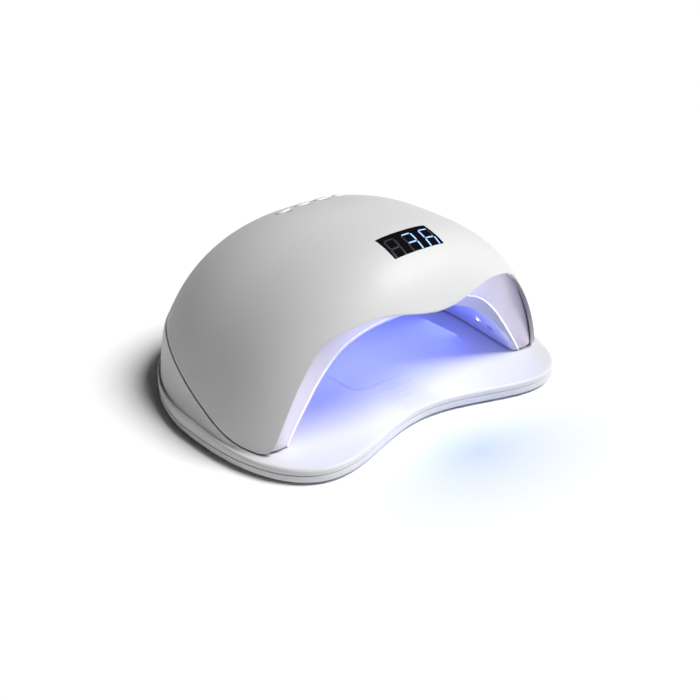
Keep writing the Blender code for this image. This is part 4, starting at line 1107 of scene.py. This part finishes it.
def make_materials():
    return {
        "shell": moulded("shell_white", (0.725, 0.725, 0.73), (0.71, 0.71, 0.715), (0.46, 0.54),
                         Specular_IOR_Level=0.35),
        "tray": moulded("tray_white", (0.725, 0.725, 0.74), (0.71, 0.71, 0.725), (0.40, 0.48),
                        Specular_IOR_Level=0.35),
        "bezel": moulded("bezel_white", (0.82, 0.77, 0.86), (0.80, 0.75, 0.85), (0.36, 0.44)),
        "liner": moulded("liner_white", (0.66, 0.69, 0.80), (0.655, 0.685, 0.797), (0.34, 0.38)),
        "button": moulded("button_white", (0.84, 0.84, 0.84), (0.82, 0.82, 0.825), (0.16, 0.22)),
        "frame": moulded("frame_white", (0.74, 0.74, 0.74), (0.70, 0.70, 0.71), (0.42, 0.55), bump=0.1),
        "rubber": moulded("foot_rubber", (0.055, 0.055, 0.06), (0.035, 0.035, 0.04), (0.7, 0.85),
                          grain=1500.0, bump=0.3),
        "steel": moulded("screw_steel", (0.62, 0.62, 0.64), (0.52, 0.52, 0.55), (0.22, 0.36), metallic=1.0,
                         stretch=(1.0, 1.0, 8.0), bump=0.1),
        "magnet": moulded("magnet_nickel", (0.72, 0.72, 0.74), (0.66, 0.65, 0.66), (0.12, 0.2), metallic=1.0),
        "pane": moulded("pane_smoked", (0.004, 0.004, 0.006), (0.007, 0.007, 0.009), (0.05, 0.09), bump=0.01,
                        Specular_IOR_Level=0.25),
        "black": moulded("black_nylon", (0.018, 0.018, 0.02), (0.03, 0.03, 0.032), (0.35, 0.5), bump=0.15),
        "board": moulded("board_mask", (0.02, 0.16, 0.06), (0.03, 0.22, 0.09), (0.28, 0.4), grain=420.0,
                         bump=0.2),
        "switch": moulded("natural_nylon", (0.68, 0.65, 0.56), (0.6, 0.57, 0.48), (0.4, 0.55), bump=0.15),
        "can": moulded("can_aluminium", (0.62, 0.63, 0.66), (0.5, 0.51, 0.55), (0.25, 0.4), metallic=1.0,
                       stretch=(1.0, 1.0, 12.0)),
        "lead": moulded("lead_insulation", (0.42, 0.02, 0.02), (0.33, 0.015, 0.015), (0.4, 0.55), bump=0.1),
        "strip": moulded("strip_white", (0.82, 0.84, 0.9), (0.76, 0.79, 0.88), (0.3, 0.4), bump=0.1),
        "mark": moulded("mark_ink", (0.32, 0.32, 0.33), (0.4, 0.4, 0.41), (0.45, 0.55)),
        "segment_dim": moulded("segment_dim", (0.16, 0.16, 0.17), (0.09, 0.09, 0.10), (0.3, 0.4)),
        "segment_lit": glowing("segment_lit", (0.2, 0.3, 0.5), (0.30, 0.55, 1.0), 1.0),
        "bead": glowing("bead_lens", (0.8, 0.8, 0.9), (0.22, 0.26, 1.0), 0.9),
        # The edge rib's glow is a painted highlight: the rib is no lamp.
        "edge": glowing("edge_painted_highlight", (0.8, 0.8, 0.85), (0.80, 0.82, 1.0), 0.62),
        "core": glowing("bead_core", (0.9, 0.9, 1.0), (0.55, 0.58, 1.0), 9.0),
    }


CARRIED_OVER = {
    "head_frame": "frame", "main_board": "board", "inductor": "black", "capacitor_1": "can",
    "capacitor_2": "can", "driver_chip": "black", "led_connector": "switch", "display_board": "board",
    "button_board": "board", "power_lead": "black", "display_lead": "lead", "button_lead": "lead",
}


def paint_carried_over(looks):
    """Gives every CAD node that stays visible its material."""
    chosen = dict(CARRIED_OVER)
    for number in range(1, len(BUTTON_LABELS) + 1):
        chosen[f"tact_switch_{number}"] = "switch"
    for side in SIDES:
        for kind, look in (("base_screw", "steel"), ("head_screw", "steel"), ("keeper", "steel"),
                           ("magnet", "magnet")):
            chosen[f"{kind}_{side}"] = look
    for node, look in chosen.items():
        obj = frame["nodes"][node]
        if not obj.data.materials:
            obj.data.materials.append(looks[look])
        for index in range(len(obj.data.materials)):
            obj.data.materials[index] = looks[look]


# ------------------------------------------------------------------------------------------------ studio

def area_light(name, place, target, size, power, colour):
    """A light inside the head that only lights matt surfaces and rides on the head. Places are in metres."""
    data = bpy.data.lights.new(name, "AREA")
    data.shape = "RECTANGLE"
    data.size, data.size_y = size
    data.energy = power
    data.color = colour
    light = aimed(data, place, Vector(target) - Vector(place))
    light.visible_camera = False
    light.visible_glossy = False
    light.parent = frame["bodies"]["lamp_head"]


def make_world():
    """Soft light from all round, brightest from below, as over a white table, and dim from above."""
    world = bpy.data.worlds.new("studio")
    world.use_nodes = True
    tree = world.node_tree
    direction = tree.nodes.new("ShaderNodeTexCoord").outputs["Generated"]
    split = put(tree, tree.nodes.new("ShaderNodeSeparateXYZ"), Vector=direction)
    level = ranged(tree, split.outputs["Z"], AMBIENT_BELOW, AMBIENT_ABOVE, -1.0, 1.0)
    put(tree, tree.nodes["Background"], Strength=level)
    bpy.context.scene.world = world


def make_key_light():
    data = bpy.data.lights.new("key", "SUN")
    data.energy = KEY_STRENGTH
    data.angle = KEY_SOFTNESS
    aimed(data, (0, 0, 0), -KEY_FROM)


def make_floor():
    """A pale sweep, with a painted blue glow of the lamp's light on it in front of the lamp's mouth."""
    corners = [(FLOOR_REACH * sx, FLOOR_REACH * sy, 0) for sx, sy in ((-1, -1), (1, -1), (1, 1), (-1, 1))]
    mesh = bpy.data.meshes.new("floor")
    mesh.from_pydata(corners, [], [[0, 1, 2, 3]])
    material = bpy.data.materials.new("floor_white_painted_glow")
    material.use_nodes = True
    tree = material.node_tree
    mapping = tree.nodes.new("ShaderNodeMapping")
    mapping.vector_type = "TEXTURE"
    put(tree, mapping, Vector=object_coordinates(tree), Location=PAINTED_GLOW_PLACE, Scale=PAINTED_GLOW_REACH)
    painted_glow = tree.nodes.new("ShaderNodeTexGradient")
    painted_glow.gradient_type = "QUADRATIC_SPHERE"
    put(tree, painted_glow, Vector=mapping.outputs["Vector"])
    # Painted glow: the floor's colour turns pale blue in a soft oval in front of the lamp's mouth, standing in
    # for the lamp's light.
    colour = mixed(tree, painted_glow.outputs["Fac"], FLOOR_WHITE, PAINTED_GLOW_BLUE)
    put(tree, tree.nodes["Principled BSDF"], Base_Color=colour, Roughness=1.0, Specular_IOR_Level=0.0)
    mesh.materials.append(material)
    floor = bpy.data.objects.new("floor", mesh)
    bpy.context.scene.collection.objects.link(floor)


def make_cavity_light():
    """The violet light of the beads: from the roof, from both walls, and what spills onto the legs."""
    area_light("cavity_roof", place=(0, -0.02, 0.052), target=(0, -0.02, 0), size=(0.07, 0.06), power=0.034,
               colour=PALE_VIOLET)
    for name, side in (("right", 1), ("left", -1)):
        area_light(f"cavity_{name}", place=(side * 0.064, -0.015, 0.033), target=(0, -0.015, 0.005),
                   size=(0.03, 0.08), power=0.035, colour=VIOLET)
        area_light(f"spill_{name}", place=(side * 0.01, -0.082, 0.036), target=(side * 0.095, -0.066, 0.036),
                   size=(0.03, 0.03), power=0.009, colour=LILAC)


def main():
    make_camera()
    looks = make_materials()
    make_dome(looks["shell"])
    make_buttons(looks["button"])
    make_button_marks(looks["mark"])
    make_window(looks["pane"])
    make_digits(looks["segment_lit"], looks["segment_dim"], looks["pane"])
    make_display_module(looks["black"])
    make_jack(looks["black"], looks["steel"])
    make_reflector(looks["liner"])
    make_painted_highlight_rib(looks["edge"])
    make_light_strips(looks["strip"], looks["bead"], looks["core"])
    make_sensors(looks["black"])
    make_bezel(looks["bezel"])
    make_tray(looks["tray"])
    make_bottom_plate(looks["tray"])
    make_feet(looks["rubber"])
    paint_carried_over(looks)
    make_world()
    make_floor()
    make_key_light()
    make_cavity_light()
    bpy.context.scene.view_settings.view_transform = "Standard"


main()
